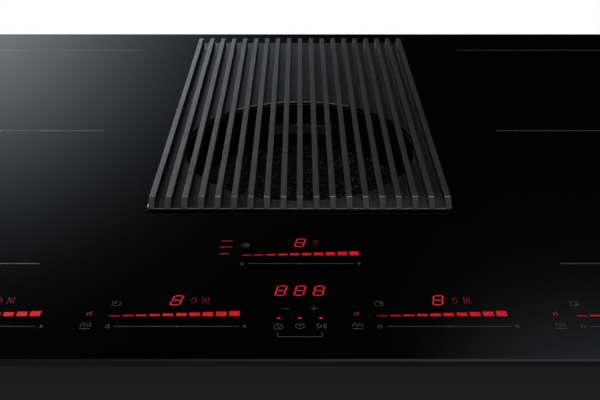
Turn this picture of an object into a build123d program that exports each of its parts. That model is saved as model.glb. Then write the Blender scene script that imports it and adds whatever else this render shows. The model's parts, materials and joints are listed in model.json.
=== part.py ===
"""Downdraft induction cooktop, in millimetres.

The worktop's top face is z = 0 and the origin is the centre of the glass in plan. X runs to the
right, Y to the back and Z up. The glass lies on the worktop, and everything under z = 0 hangs in
the worktop's cut-out.
"""

import os
from math import cos, radians, sin

from build123d import *

os.makedirs("parts", exist_ok=True)

# ---------------------------------------------------------------------------
# Driving dimensions
# ---------------------------------------------------------------------------

# glass and the tape that seals it to the worktop
glass_w = 830.0
glass_d = 520.0
glass_t = 4.0
glass_corner_r = 6.0
glass_arris = 0.8
tape_t = 1.5
tape_w = 10.0
tape_inset = 4.0
tape_joint = 0.5

# grille: a plate with slats on it
grille_w = 199.0
grille_front_margin = 150.7
grille_back_margin = 34.3
grille_overlap = 4.5
grille_corner_r = 3.0
plate_lift = 0.3
plate_t = 1.7
mouth_r = 85.6
mouth_front_land = 11.0
slat_count = 19
slat_w = 4.0
slat_h = 4.7
slat_slope = 8.0
slat_margin = 0.75
slat_chamfer = 0.4
foot_r = 4.5
foot_inset = 7.0
foot_sink = 1.0
foot_clearance = 0.3

# deck frame in the glass cut-out
cut_corner_r = 8.0
throat_clearance = 0.5
deck_drop = 0.2
deck_t = 3.0
throat_rim = 2.0
throat_flange_w = 12.0
throat_flange_t = 2.0
deck_rib_t = 2.0
deck_rib_count = 3

# grease filter
basket_r = 84.5
basket_wall = 2.0
basket_clearance = 0.5
basket_rim_w = 3.0
basket_rim_t = 1.5
basket_lip_w = 4.5
filter_depth = 37.4
mesh_t = 1.2
mesh_clearance = 0.2
mesh_hole_r = 3.3
mesh_pitch = 9.6
grip_top_depth = 15.4
grip_h = 7.9
grip_reach = 8.0
grip_wall = 2.5
grip_chord = 62.0

# air box under the deck
gasket_t = 1.5
box_land = 2.0
box_h = 116.0
box_wall = 2.5
box_corner_r = 10.0
box_flange_w = 12.0
box_flange_t = 3.0
box_clearance = 1.5
drain_r = 8.0
drain_wall = 2.5
drain_drop = 4.0

# casing of the electronics
casing_side_inset = 29.0
casing_end_inset = 19.0
casing_h = 56.5
casing_wall = 1.0
casing_joint = 0.2
vent_slot_l = 35.0
vent_slot_w = 4.0
vent_pitch = 7.0
vent_count = 5
exhaust_slot_l = 24.0
exhaust_count = 12
exhaust_pitch = 14.0
exhaust_setback = 22.0

# cooking zones and their coils
zone_inner_x = 152.8
zone_side_margin = 47.0
zone_front_margin = 88.1
zone_back_margin = 50.7
mica_t = 0.4
mica_margin = 12.0
coil_margin = 7.3
coil_bore_r = 24.0
coil_t = 4.5
carrier_t = 4.0
carrier_ring_w = 7.0
carrier_rim = 2.0
carrier_arm_w = 14.0
ferrite_count = 8
ferrite_margin = 4.0
ferrite_w = 10.0
ferrite_t = 4.0
sensor_r = 6.0
spring_count = 4
spring_r = 4.0
spring_wall = 1.0
spring_h = 11.0
coil_plate_t = 1.6
coil_plate_margin = 5.0
plate_post_r = 4.0
plate_post_inset = 8.0

# power electronics
board_t = 1.6
board_lift = 9.0
board_post_r = 4.0
board_post_inset = 6.0
power_board_w = 210.0
power_board_front_gap = 13.0
power_board_back_gap = 49.0
heatsink_w = 100.0
heatsink_d = 76.0
heatsink_h = 19.0
heatsink_base_t = 3.0
fin_t = 1.5
fin_count = 11
board_edge = 8.0
transistor_t = 5.0
transistor_w = 16.0
transistor_h = 18.0
transistor_count = 4
capacitor_w = 32.0
capacitor_d = 18.0
capacitor_h = 18.0
capacitor_count = 3
choke_r = 14.0
choke_bore_r = 6.5
choke_h = 12.0
choke_count = 2
mains_board_w = 80.0
mains_board_d = 90.0
mains_capacitor_count = 2
terminal_w = 60.0
terminal_d = 24.0
terminal_h = 20.0
terminal_way_r = 3.0
terminal_ways = 5
gland_bore_r = 6.0
gland_r = 8.0
gland_clearance = 0.2
gland_flange_r = 11.0
gland_flange_t = 4.0
gland_l = 14.0
gland_nut_t = 4.0

# cooling fans
fan_w = 80.0
fan_h = 20.0
fan_wall = 1.5
fan_cavity_r = 36.0
fan_rotor_r = 32.0
fan_intake_r = 22.0
fan_rotor_h = 14.0
fan_blade_count = 24
fan_blade_l = 9.0
fan_blade_t = 1.0
fan_hub_r = 13.0
fan_disc_t = 1.2
fan_pin_r = 1.5
fan_boss_r = 4.0
fan_boss_h = 3.0
fan_rotor_gap = 0.5
fan_back_gap = 50.0
fan_side_gap = 18.25

# control unit
control_w = 452.0
control_d = 55.0
control_front_gap = 3.0
control_tab_w = 110.0
control_tab_d = 44.0
control_depth = 6.0
carrier_plate_t = 2.0
carrier_edge = 1.0
carrier_leg_r = 4.0
carrier_leg_inset = 9.0
digit_w = 12.0
digit_d = 15.0
digit_gap = 0.3
timer_w = 34.0
slider_centres = (-174.4, -67.7, 76.2, 183.3)
slider_digit_setback = 51.0
slider_touch_setback = 38.0
slider_touch_pitch = 23.0
timer_setback = 60.4
timer_key_x = 7.7
timer_key_setback = 43.4
key_pitch = 11.3
key_setback = 28.0
fan_digit_setback = 111.5
fan_touch_setback = 98.0
touch_r = 2.8
touch_wall = 0.6

# blower
blower_setback = 137.2
blower_h = 87.0
lid_t = 3.0
scroll_wall = 2.5
scroll_floor_t = 3.0
scroll_start_r = 72.0
scroll_step = 8.0
tongue_x = 46.0
scroll_flange_w = 6.0
scroll_flange_t = 3.0
hang_inset = 7.0
outlet_back_gap = 6.5
inlet_r = 44.0
inlet_wall = 2.5
inlet_ring_h = 12.0
inlet_flange_w = 5.0
inlet_flange_t = 1.5
inlet_clearance = 0.2
impeller_r = 65.0
impeller_h = 59.0
impeller_gap = 5.0
impeller_disc_t = 2.0
impeller_ring_w = 15.0
blade_count = 36
blade_l = 18.0
blade_t = 1.2
blade_angle = 35.0
hub_wall = 2.0
hub_h = 39.0
rotor_r = 32.0
rotor_wall = 3.0
rotor_h = 34.0
rotor_fit = 0.2
air_gap = 0.7
stator_h = 24.0
stator_drop = 5.0
slot_count = 12
slot_w = 5.0
slot_l = 13.0
sleeve_r = 10.0
bush_r = 6.0
bush_l = 10.0
shaft_r = 3.0
running_clearance = 0.05
press_clearance = 0.02
shaft_tail = 2.0
mount_r = 40.0
mount_t = 3.0
damper_r = 6.0
damper_h = 8.0
damper_count = 4
damper_circle_r = 32.0

# outlet
outlet_flange_w = 12.0
outlet_flange_t = 3.0
outlet_wall = 2.0
spigot_w = 219.0
spigot_h = 85.0
spigot_l = 35.0
spigot_x = 25.0
spigot_back_gap = 2.0

# drip tray and its rails
tray_w = 160.0
tray_h = 74.0
tray_wall = 2.0
tray_corner_r = 6.0
tray_front_gap = 4.0
tray_back_gap = 4.0
tray_pull_w = 60.0
tray_pull_d = 9.0
tray_pull_t = 2.5
rail_t = 2.0
rail_flange_w = 13.0
rail_lip_w = 10.0
rail_clearance = 0.4
tray_sink = 0.3

# fasteners and clips
screw_r = 2.0
screw_l = 8.0
screw_head_r = 3.5
screw_head_h = 2.2
screw_clearance = 0.1
screw_boss_r = 5.5
screw_boss_h = 6.0
clip_w = 20.0
clip_t = 1.0
clip_h = 34.0
clip_bulge = 2.4
clip_top_gap = 20.0
clip_end_gap = 91.0
clip_screw_drop = 8.0

# ---------------------------------------------------------------------------
# Levels and places worked out from them
# ---------------------------------------------------------------------------

# glass and grille
front_edge = -glass_d / 2
glass_under = tape_t
glass_face = glass_under + glass_t
plate_under = glass_face + plate_lift
plate_top = plate_under + plate_t
slat_top = plate_top + slat_h
grille_front = front_edge + grille_front_margin
grille_back = glass_d / 2 - grille_back_margin
grille_d = grille_back - grille_front
grille_y = (grille_front + grille_back) / 2
mouth_y = grille_front + mouth_front_land + mouth_r
slat_pitch = (grille_w - 2 * slat_margin - slat_w) / (slat_count - 1)
slat_xs = [(i - (slat_count - 1) / 2) * slat_pitch for i in range(slat_count)]
mouth_axis = Axis((0, mouth_y, 0), (0, 0, 1))

# cut-out and deck
cut_w = grille_w - 2 * grille_overlap
cut_d = grille_d - 2 * grille_overlap
cut_front = grille_y - cut_d / 2
cut_back = grille_y + cut_d / 2
deck_top = glass_face - deck_drop
deck_under = deck_top - deck_t
throat_under = glass_under - throat_flange_t
upstand_w = cut_w - 2 * throat_clearance
upstand_d = cut_d - 2 * throat_clearance
upstand_r = cut_corner_r - throat_clearance
foot_x = cut_w / 2 - foot_inset
foot_ys = (cut_front + foot_inset, mouth_y + mouth_r, cut_back - foot_inset)
foot_points = [(side * foot_x, y) for side in (-1, 1) for y in foot_ys]
foot_floor = deck_top - foot_sink

# filter
basket_outer_r = basket_r + basket_wall
basket_bore_r = basket_outer_r + basket_clearance
basket_rim_r = basket_outer_r + basket_rim_w
mesh_top = glass_face - filter_depth
mesh_under = mesh_top - mesh_t
basket_under = mesh_under - basket_rim_t
mesh_r = basket_r - mesh_clearance

# air box
box_top = throat_under - gasket_t
box_under = box_top - box_h
box_floor = box_under + box_wall
box_w = cut_w + 2 * box_land
box_d = cut_d + 2 * box_land
box_front = grille_y - box_d / 2

# casing
casing_w = glass_w - 2 * casing_side_inset
casing_d = glass_d - 2 * casing_end_inset
casing_under = glass_under - casing_h
casing_floor = casing_under + casing_wall
opening_w = box_w + 2 * box_clearance
opening_d = box_d + 2 * box_clearance
opening_front = grille_y - opening_d / 2
opening_back = grille_y + opening_d / 2
bay_inner_x = opening_w / 2
bay_outer_x = casing_w / 2 - casing_wall
bay_x = (bay_inner_x + bay_outer_x) / 2
bay_w = bay_outer_x - bay_inner_x

# coils, from the glass down
zone_w = glass_w / 2 - zone_side_margin - zone_inner_x
zone_d = (glass_d - zone_front_margin - zone_back_margin) / 2
zone_x = zone_inner_x + zone_w / 2
zone_mid_y = front_edge + zone_front_margin + zone_d
coil_r = zone_d / 2 - coil_margin
ferrite_l = coil_r - coil_bore_r - 2 * ferrite_margin
coil_ys = (zone_mid_y - zone_d / 2, zone_mid_y + zone_d / 2)
coil_points = [(side * zone_x, y) for side in (-1, 1) for y in coil_ys]
mica_under = glass_under - mica_t
coil_under = mica_under - coil_t
carrier_under = coil_under - carrier_t
coil_plate_top = carrier_under - spring_h
coil_plate_under = coil_plate_top - coil_plate_t
coil_plate_w = bay_w - 2 * coil_plate_margin
coil_plate_d = 2 * zone_d + coil_plate_margin
plate_post_x = coil_plate_w / 2 - plate_post_inset
plate_post_y = coil_plate_d / 2 - plate_post_inset
plate_post_points = [
    (side * bay_x + x, zone_mid_y + y)
    for side in (-1, 1)
    for x in (-plate_post_x, plate_post_x)
    for y in (-plate_post_y, 0, plate_post_y)
]

# control unit
control_top = glass_under - control_depth
control_under = control_top - board_t
control_front = -casing_d / 2 + casing_wall + control_front_gap
control_back = control_front + control_d
control_y = (control_front + control_back) / 2
control_tab_y = control_back + control_tab_d / 2
carrier_plate_under = control_under - carrier_plate_t
carrier_leg_x = control_w / 2 - carrier_leg_inset
carrier_leg_y = control_d / 2 - carrier_leg_inset

# boards and cooling fans
board_under = casing_floor + board_lift
board_top = board_under + board_t
mains_board_x = -(bay_x + plate_post_x - plate_post_r - board_edge - mains_board_w / 2)
mains_board_y = casing_d / 2 - casing_wall - board_edge - mains_board_d / 2
fan_x = -mains_board_x - mains_board_w / 2 - fan_side_gap - fan_w / 2
fan_y = casing_d / 2 - casing_wall - fan_back_gap - fan_w / 2
power_board_front = control_back + power_board_front_gap
power_board_back = fan_y - fan_w / 2 - power_board_back_gap
power_board_d = power_board_back - power_board_front
power_board_y = (power_board_front + power_board_back) / 2
power_post_x = power_board_w / 2 - board_post_inset
power_post_y = power_board_d / 2 - board_post_inset
heatsink_y = power_board_back - board_edge - heatsink_d / 2
mains_post_x = mains_board_w / 2 - board_post_inset
mains_post_y = mains_board_d / 2 - board_post_inset
terminal_x = mains_board_x + mains_board_w / 2 + board_edge + terminal_w / 2
terminal_y = casing_d / 2 - casing_wall - gland_nut_t - board_edge - terminal_d / 2
gland_x = terminal_x
gland_z = casing_floor + terminal_h / 2 + screw_clearance
board_post_points = [
    (side * bay_x + x, power_board_y + y)
    for side in (-1, 1)
    for x in (-power_post_x, power_post_x)
    for y in (-power_post_y, power_post_y)
]
board_post_points += [
    (mains_board_x + x, mains_board_y + y)
    for x in (-mains_post_x, mains_post_x)
    for y in (-mains_post_y, mains_post_y)
]

# blower, from the air box down
blower_y = grille_back - blower_setback - (grille_overlap - box_land)
blower_under = box_under - blower_h
lid_under = box_under - lid_t
scroll_floor = blower_under + scroll_floor_t
scroll_shift = scroll_step / 2
scroll_right = scroll_start_r + 4 * scroll_step - scroll_shift
scroll_left = scroll_start_r + scroll_step + scroll_shift
scroll_front = scroll_start_r + 2 * scroll_step + scroll_shift
inlet_ring_r = inlet_r + inlet_wall
outlet_y = blower_y + scroll_start_r + scroll_shift + scroll_wall + outlet_back_gap
impeller_top = lid_under - impeller_gap
impeller_under = impeller_top - impeller_h
hub_r = rotor_r + rotor_fit + hub_wall
hub_top = impeller_under + hub_h
rotor_top = hub_top - hub_wall
rotor_under = rotor_top - rotor_h
mount_under = scroll_floor + damper_h
stator_top = rotor_top - rotor_wall - stator_drop
stator_under = stator_top - stator_h
sleeve_top = stator_top
shaft_under = mount_under - shaft_tail

# lid plate around the scroll
lid_left = -scroll_left - scroll_wall - scroll_flange_w
lid_right = scroll_right + scroll_wall + scroll_flange_w
lid_front = blower_y - scroll_front - scroll_wall - scroll_flange_w
lid_w = lid_right - lid_left
lid_d = outlet_y - lid_front
lid_x = (lid_left + lid_right) / 2
lid_y = (lid_front + outlet_y) / 2

# outlet
spigot_back = glass_d / 2 - spigot_back_gap
spigot_front = spigot_back - spigot_l
spigot_z = blower_under + spigot_h / 2
outlet_x = (tongue_x + scroll_right) / 2
outlet_w = scroll_right - tongue_x
outlet_h = lid_under - scroll_floor
outlet_z = (lid_under + scroll_floor) / 2
outlet_flange_left = tongue_x - scroll_wall - outlet_flange_w
outlet_flange_right = scroll_right + scroll_wall + outlet_flange_w
outlet_flange_l = outlet_flange_right - outlet_flange_left
outlet_flange_x = (outlet_flange_left + outlet_flange_right) / 2
outlet_face = Plane((outlet_flange_x, outlet_y, blower_under), x_dir=(1, 0, 0), z_dir=(0, -1, 0))

# tray and rails
tray_front = box_front + tray_front_gap
tray_d = lid_front - tray_back_gap - tray_front
tray_y = tray_front + tray_d / 2
tray_under = blower_under + rail_t + tray_sink
tray_top = tray_under + tray_h
rail_inner_x = tray_w / 2 + rail_clearance
rail_outer_x = rail_inner_x + rail_t

# screw seats: each plane's normal points out of the screw's head
clip_screw_z = glass_under - clip_top_gap - clip_screw_drop
clip_y = casing_d / 2 - clip_end_gap
clip_points = [(side, y) for side in (-1, 1) for y in (-clip_y, clip_y)]
clip_seats = [
    Plane((side * (casing_w / 2 + clip_t), y, clip_screw_z), x_dir=(0, 1, 0), z_dir=(side, 0, 0))
    for side, y in clip_points
]
flange_screw_x = box_w / 2 + box_flange_w / 2
flange_screw_y = box_d / 2 + box_flange_w / 2
flange_screw_points = [
    (side * flange_screw_x, grille_y + y) for side in (-1, 1) for y in (-box_d / 3, 0, box_d / 3)
]
flange_screw_points += [(0, grille_y - flange_screw_y), (0, grille_y + flange_screw_y)]
box_flange_under = casing_under - box_flange_t
hang_x = -lid_left - hang_inset
hang_points = [
    (-hang_x, outlet_y - hang_inset),
    (-hang_x, lid_front + hang_inset),
    (hang_x, lid_front + hang_inset),
    (tongue_x - scroll_wall - screw_head_r, outlet_y - hang_inset),
]
scroll_flange_under = lid_under - scroll_flange_t
outlet_screw_zs = (outlet_z - outlet_h / 4, outlet_z + outlet_h / 4)
outlet_screw_xs = (
    outlet_flange_left + outlet_flange_w / 2,
    outlet_flange_right - outlet_flange_w / 2,
)
outlet_screw_points = [(x, z) for x in outlet_screw_xs for z in outlet_screw_zs]
duct_flange_t = screw_l - outlet_flange_t
outlet_joint_y = outlet_y + duct_flange_t
rail_screw_x = rail_outer_x + rail_flange_w / 2
rail_screw_ys = (tray_y - tray_d / 3, tray_y + tray_d / 3)
rail_screw_points = [(side * rail_screw_x, y) for side in (-1, 1) for y in rail_screw_ys]
screw_hole_r = screw_r + screw_clearance


def facing_down(x, y, z):
    """A plane at this point that looks down, for a screw driven in from below."""
    return Plane((x, y, z), x_dir=(1, 0, 0), z_dir=(0, 0, -1))


# ---------------------------------------------------------------------------
# Glass
# ---------------------------------------------------------------------------

with BuildPart() as glass_top:
    with BuildSketch(Plane.XY.offset(glass_under)):
        RectangleRounded(glass_w, glass_d, glass_corner_r)
        with Locations((0, grille_y)):
            RectangleRounded(cut_w, cut_d, cut_corner_r, mode=Mode.SUBTRACT)
    extrude(amount=glass_t)
    glass_outline = glass_top.faces().sort_by(Axis.Z)[-1].outer_wire().edges()
    chamfer(glass_outline, glass_arris)
glass_top.part.label = "glass_top"
export_step(glass_top.part, "parts/glass_top.step")

tape_line_x = glass_w / 2 - tape_inset - tape_w / 2
tape_line_y = glass_d / 2 - tape_inset - tape_w / 2
with BuildPart() as seal_tape:
    with BuildSketch(Plane.XY):
        with Locations((0, -tape_line_y), (0, tape_line_y)):
            Rectangle(glass_w - 2 * tape_inset, tape_w)
        with Locations((-tape_line_x, 0), (tape_line_x, 0)):
            Rectangle(tape_w, glass_d - 2 * (tape_inset + tape_w + tape_joint))
    extrude(amount=tape_t)
seal_tape.part.label = "seal_tape"
export_step(seal_tape.part, "parts/seal_tape.step")

# ---------------------------------------------------------------------------
# Grille
# ---------------------------------------------------------------------------

with BuildPart() as grille_plate:
    with BuildSketch(Plane((0, grille_y, plate_under))):
        RectangleRounded(grille_w, grille_d, grille_corner_r)
        with Locations((0, mouth_y - grille_y)):
            Circle(mouth_r, mode=Mode.SUBTRACT)
    extrude(amount=plate_t)
grille_plate.part.label = "grille_plate"
export_step(grille_plate.part, "parts/grille_plate.step")

# each slat is a bar with a sloped front end
with BuildPart() as grille_slats:
    with BuildSketch(*[Plane.YZ.offset(x - slat_w / 2) for x in slat_xs]):
        with BuildLine():
            Polyline(
                (grille_front, plate_top),
                (grille_back, plate_top),
                (grille_back, slat_top),
                (grille_front + slat_slope, slat_top),
                close=True,
            )
        make_face()
    extrude(amount=slat_w)
    slat_top_edges = grille_slats.edges().group_by(Axis.Z)[-1]
    chamfer(slat_top_edges, slat_chamfer)
grille_slats.part.label = "grille_slats"
export_step(grille_slats.part, "parts/grille_slats.step")

with BuildPart() as grille_feet:
    with BuildSketch(Plane.XY.offset(foot_floor)):
        with Locations(*foot_points):
            Circle(foot_r)
    extrude(amount=plate_under - foot_floor)
grille_feet.part.label = "grille_feet"
export_step(grille_feet.part, "parts/grille_feet.step")

# ---------------------------------------------------------------------------
# Deck frame in the glass cut-out
# ---------------------------------------------------------------------------

with BuildPart() as throat_frame:
    with BuildSketch(Plane((0, grille_y, throat_under))):
        RectangleRounded(
            cut_w + 2 * throat_flange_w, cut_d + 2 * throat_flange_w, cut_corner_r + throat_flange_w
        )
    extrude(amount=throat_flange_t)
    with BuildSketch(Plane((0, grille_y, throat_under))):
        RectangleRounded(upstand_w, upstand_d, upstand_r)
    extrude(amount=deck_top - throat_under)
    with BuildSketch(Plane((0, grille_y, throat_under))):
        RectangleRounded(upstand_w - 2 * throat_rim, upstand_d - 2 * throat_rim, upstand_r - throat_rim)
    extrude(amount=deck_under - throat_under, mode=Mode.SUBTRACT)
    # ribs under the part of the deck behind the mouth
    with BuildSketch(Plane((0, (mouth_y + mouth_r + cut_back) / 2, throat_under))):
        with GridLocations(0, (cut_back - mouth_y - mouth_r) / (deck_rib_count + 1), 1, deck_rib_count):
            Rectangle(upstand_w - throat_rim, deck_rib_t)
    extrude(amount=deck_under - throat_under)
    with Locations((0, mouth_y, deck_top)):
        CounterBoreHole(basket_bore_r, basket_rim_r + basket_clearance, basket_rim_t)
    with BuildSketch(Plane.XY.offset(deck_top)):
        with Locations(*foot_points):
            Circle(foot_r + foot_clearance)
    extrude(amount=-foot_sink, mode=Mode.SUBTRACT)
throat_frame.part.label = "throat_frame"
export_step(throat_frame.part, "parts/throat_frame.step")

with BuildPart() as throat_gasket:
    with BuildSketch(Plane((0, grille_y, box_top))):
        RectangleRounded(box_w, box_d, box_corner_r)
        RectangleRounded(
            box_w - 2 * box_wall, box_d - 2 * box_wall, box_corner_r - box_wall, mode=Mode.SUBTRACT
        )
    extrude(amount=gasket_t)
throat_gasket.part.label = "throat_gasket"
export_step(throat_gasket.part, "parts/throat_gasket.step")

# ---------------------------------------------------------------------------
# Grease filter
# ---------------------------------------------------------------------------

with BuildPart() as filter_basket:
    with BuildSketch(Plane.XZ.offset(-mouth_y)):
        with BuildLine():
            Polyline(
                (basket_r, deck_top),
                (basket_rim_r, deck_top),
                (basket_rim_r, deck_top - basket_rim_t),
                (basket_outer_r, deck_top - basket_rim_t),
                (basket_outer_r, basket_under),
                (basket_r - basket_lip_w, basket_under),
                (basket_r - basket_lip_w, mesh_under),
                (basket_r, mesh_under),
                close=True,
            )
        make_face()
    revolve(axis=mouth_axis)
filter_basket.part.label = "filter_basket"
export_step(filter_basket.part, "parts/filter_basket.step")

# the mesh is a disc with holes in staggered rows
row_pitch = mesh_pitch * cos(radians(30))
row_reach = int(mesh_r / row_pitch)
column_reach = int(mesh_r / mesh_pitch) + 1
mesh_points = []
for row in range(-row_reach, row_reach + 1):
    for column in range(-column_reach, column_reach + 1):
        hole = Vector((column + row % 2 / 2) * mesh_pitch, row * row_pitch)
        if hole.length < mesh_r - basket_lip_w - mesh_hole_r:
            mesh_points.append(hole)
with BuildPart() as filter_mesh:
    with BuildSketch(Plane((0, mouth_y, mesh_under))):
        Circle(mesh_r)
        with Locations(*mesh_points):
            Circle(mesh_hole_r, mode=Mode.SUBTRACT)
    extrude(amount=mesh_t)
filter_mesh.part.label = "filter_mesh"
export_step(filter_mesh.part, "parts/filter_mesh.step")

# the grip is a hooked ledge on the back of the basket's wall
grip_top = glass_face - grip_top_depth
grip_half = Vector(basket_r, 0).get_angle(Vector(basket_r, grip_chord / 2))
grip_start = radians(90 - grip_half)
grip_plane = Plane(
    (0, mouth_y, 0),
    x_dir=(cos(grip_start), sin(grip_start), 0),
    z_dir=(sin(grip_start), -cos(grip_start), 0),
)
with BuildPart() as filter_grip:
    with BuildSketch(grip_plane):
        with BuildLine():
            Polyline(
                (basket_r, grip_top),
                (basket_r - grip_reach, grip_top),
                (basket_r - grip_reach, grip_top - grip_h),
                (basket_r - grip_reach + grip_wall, grip_top - grip_h),
                (basket_r - grip_reach + grip_wall, grip_top - grip_wall),
                (basket_r, grip_top - grip_wall),
                close=True,
            )
        make_face()
    revolve(axis=mouth_axis, revolution_arc=2 * grip_half)
filter_grip.part.label = "filter_grip"
export_step(filter_grip.part, "parts/filter_grip.step")

# ---------------------------------------------------------------------------
# Air box
# ---------------------------------------------------------------------------

with BuildPart() as air_box:
    with BuildSketch(Plane((0, grille_y, box_under))):
        RectangleRounded(box_w, box_d, box_corner_r)
    extrude(amount=box_h)
    with BuildSketch(Plane((0, grille_y, box_flange_under))):
        RectangleRounded(
            box_w + 2 * box_flange_w, box_d + 2 * box_flange_w, box_corner_r + box_flange_w
        )
    extrude(amount=box_flange_t)
    with BuildSketch(Plane((0, grille_y, box_floor))):
        RectangleRounded(box_w - 2 * box_wall, box_d - 2 * box_wall, box_corner_r - box_wall)
    extrude(amount=box_h, mode=Mode.SUBTRACT)
    # bosses for the rail screws, the drain spout and the blower's inlet
    with BuildSketch(Plane.XY.offset(box_floor)):
        with Locations(*rail_screw_points):
            Circle(screw_boss_r)
    extrude(amount=screw_boss_h)
    with BuildSketch(Plane((0, tray_y, box_under - drain_drop))):
        Circle(drain_r + drain_wall)
    extrude(amount=drain_drop)
    with BuildSketch(Plane((0, tray_y, box_under - drain_drop))):
        Circle(drain_r)
    extrude(amount=drain_drop + box_wall, mode=Mode.SUBTRACT)
    with BuildSketch(Plane((0, blower_y, box_under))):
        Circle(inlet_r)
    extrude(amount=box_wall, mode=Mode.SUBTRACT)
    # holes for the screws of the flange, the rails and the blower
    with BuildSketch(Plane.XY.offset(box_flange_under)):
        with Locations(*flange_screw_points):
            Circle(screw_hole_r)
    extrude(amount=box_flange_t, mode=Mode.SUBTRACT)
    with BuildSketch(Plane.XY.offset(box_under)):
        with Locations(*rail_screw_points, *hang_points):
            Circle(screw_hole_r)
    extrude(amount=screw_l, mode=Mode.SUBTRACT)
air_box.part.label = "air_box"
export_step(air_box.part, "parts/air_box.step")

# ---------------------------------------------------------------------------
# Blower
# ---------------------------------------------------------------------------

with BuildPart() as blower_lid:
    with BuildSketch(Plane((lid_x, lid_y, lid_under))):
        Rectangle(lid_w, lid_d)
    extrude(amount=lid_t)
    with BuildSketch(Plane((0, blower_y, lid_under))):
        Circle(inlet_ring_r + inlet_clearance)
    extrude(amount=lid_t, mode=Mode.SUBTRACT)
    with BuildSketch(Plane.XY.offset(lid_under)):
        with Locations(*hang_points):
            Circle(screw_hole_r)
    extrude(amount=lid_t, mode=Mode.SUBTRACT)
blower_lid.part.label = "blower_lid"
export_step(blower_lid.part, "parts/blower_lid.step")

# the inlet ring goes through the lid, and its flange lies under it
blower_axis = Axis((0, blower_y, 0), (0, 0, 1))
with BuildPart() as inlet_ring:
    with BuildSketch(Plane.XZ.offset(-blower_y)):
        with BuildLine():
            Polyline(
                (inlet_r, lid_under - inlet_ring_h),
                (inlet_r, box_under),
                (inlet_ring_r, box_under),
                (inlet_ring_r, lid_under),
                (inlet_ring_r + inlet_flange_w, lid_under),
                (inlet_ring_r + inlet_flange_w, lid_under - inlet_flange_t),
                (inlet_ring_r, lid_under - inlet_flange_t),
                (inlet_ring_r, lid_under - inlet_ring_h),
                close=True,
            )
        make_face()
    revolve(axis=blower_axis)
inlet_ring.part.label = "inlet_ring"
export_step(inlet_ring.part, "parts/inlet_ring.step")

# The scroll grows by one step each quarter turn, because the centre of each quarter arc moves
# round a small square about the axis. The last quarter runs straight on into the outlet.
scroll_centres = (
    Vector(-scroll_shift, scroll_shift),
    Vector(-scroll_shift, -scroll_shift),
    Vector(scroll_shift, -scroll_shift),
    Vector(scroll_shift, scroll_shift),
)
scroll_radii = [scroll_start_r + quarter * scroll_step for quarter in range(4)]
tongue_rise = ((scroll_start_r**2 - (tongue_x + scroll_shift) ** 2) ** 0.5) + scroll_shift
tongue_angle = Vector(1, 0).get_angle(Vector(tongue_x + scroll_shift, tongue_rise - scroll_shift))
outlet_end = outlet_y - blower_y

with BuildSketch() as scroll_outline:
    with BuildLine():
        CenterArc(scroll_centres[0], scroll_radii[0], tongue_angle, 90 - tongue_angle)
        CenterArc(scroll_centres[1], scroll_radii[1], 90, 90)
        CenterArc(scroll_centres[2], scroll_radii[2], 180, 90)
        CenterArc(scroll_centres[3], scroll_radii[3], 270, 90)
        Line((scroll_right, scroll_shift), (scroll_right, outlet_end))
        Line((scroll_right, outlet_end), (tongue_x, outlet_end))
        Line((tongue_x, outlet_end), (tongue_x, tongue_rise))
    make_face()

with BuildPart() as blower_housing:
    with BuildSketch(Plane((0, blower_y, blower_under))):
        add(scroll_outline.sketch)
        offset(amount=scroll_wall)
        with Locations((lid_x, outlet_end + scroll_wall)):
            Rectangle(lid_w, scroll_wall, align=(Align.CENTER, Align.MAX), mode=Mode.SUBTRACT)
    extrude(amount=lid_under - blower_under)
    with BuildSketch(Plane((lid_x, lid_y, scroll_flange_under))):
        Rectangle(lid_w, lid_d)
    extrude(amount=scroll_flange_t)
    with BuildSketch(outlet_face):
        Rectangle(outlet_flange_l, lid_under - blower_under, align=(Align.CENTER, Align.MIN))
    extrude(amount=outlet_flange_t)
    with BuildSketch(Plane((0, blower_y, scroll_floor))):
        add(scroll_outline.sketch)
    extrude(amount=lid_under - scroll_floor, mode=Mode.SUBTRACT)
    with BuildSketch(Plane.XY.offset(scroll_flange_under)):
        with Locations(*hang_points):
            Circle(screw_hole_r)
    extrude(amount=scroll_flange_t, mode=Mode.SUBTRACT)
    with BuildSketch(Plane.XZ.offset(-outlet_y)):
        with Locations(*outlet_screw_points):
            Circle(screw_hole_r)
    extrude(amount=outlet_flange_t, mode=Mode.SUBTRACT)
blower_housing.part.label = "blower_housing"
export_step(blower_housing.part, "parts/blower_housing.step")

# the impeller is riveted up: a disc with the hub, the blades, and a ring on their inlet side
blade_root = impeller_under + impeller_disc_t
with BuildPart() as impeller_disc:
    with BuildSketch(Plane((0, blower_y, impeller_under))):
        Circle(impeller_r)
    extrude(amount=impeller_disc_t)
    with BuildSketch(Plane((0, blower_y, impeller_under))):
        Circle(hub_r)
    extrude(amount=hub_h)
    with BuildSketch(Plane((0, blower_y, impeller_under))):
        Circle(hub_r - hub_wall)
    extrude(amount=hub_h - hub_wall, mode=Mode.SUBTRACT)
    with BuildSketch(Plane((0, blower_y, impeller_under))):
        Circle(shaft_r + press_clearance)
    extrude(amount=hub_h, mode=Mode.SUBTRACT)
impeller_disc.part.label = "impeller_disc"
export_step(impeller_disc.part, "parts/impeller_disc.step")

with BuildPart() as impeller_blades:
    with BuildSketch(Plane((0, blower_y, blade_root))):
        with PolarLocations(impeller_r - blade_l / 2, blade_count):
            SlotOverall(blade_l, blade_t, rotation=blade_angle)
    extrude(amount=impeller_top - impeller_disc_t - blade_root)
impeller_blades.part.label = "impeller_blades"
export_step(impeller_blades.part, "parts/impeller_blades.step")

with BuildPart() as impeller_ring:
    with BuildSketch(Plane((0, blower_y, impeller_top - impeller_disc_t))):
        Circle(impeller_r)
        Circle(impeller_r - impeller_ring_w, mode=Mode.SUBTRACT)
    extrude(amount=impeller_disc_t)
impeller_ring.part.label = "impeller_ring"
export_step(impeller_ring.part, "parts/impeller_ring.step")

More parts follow.
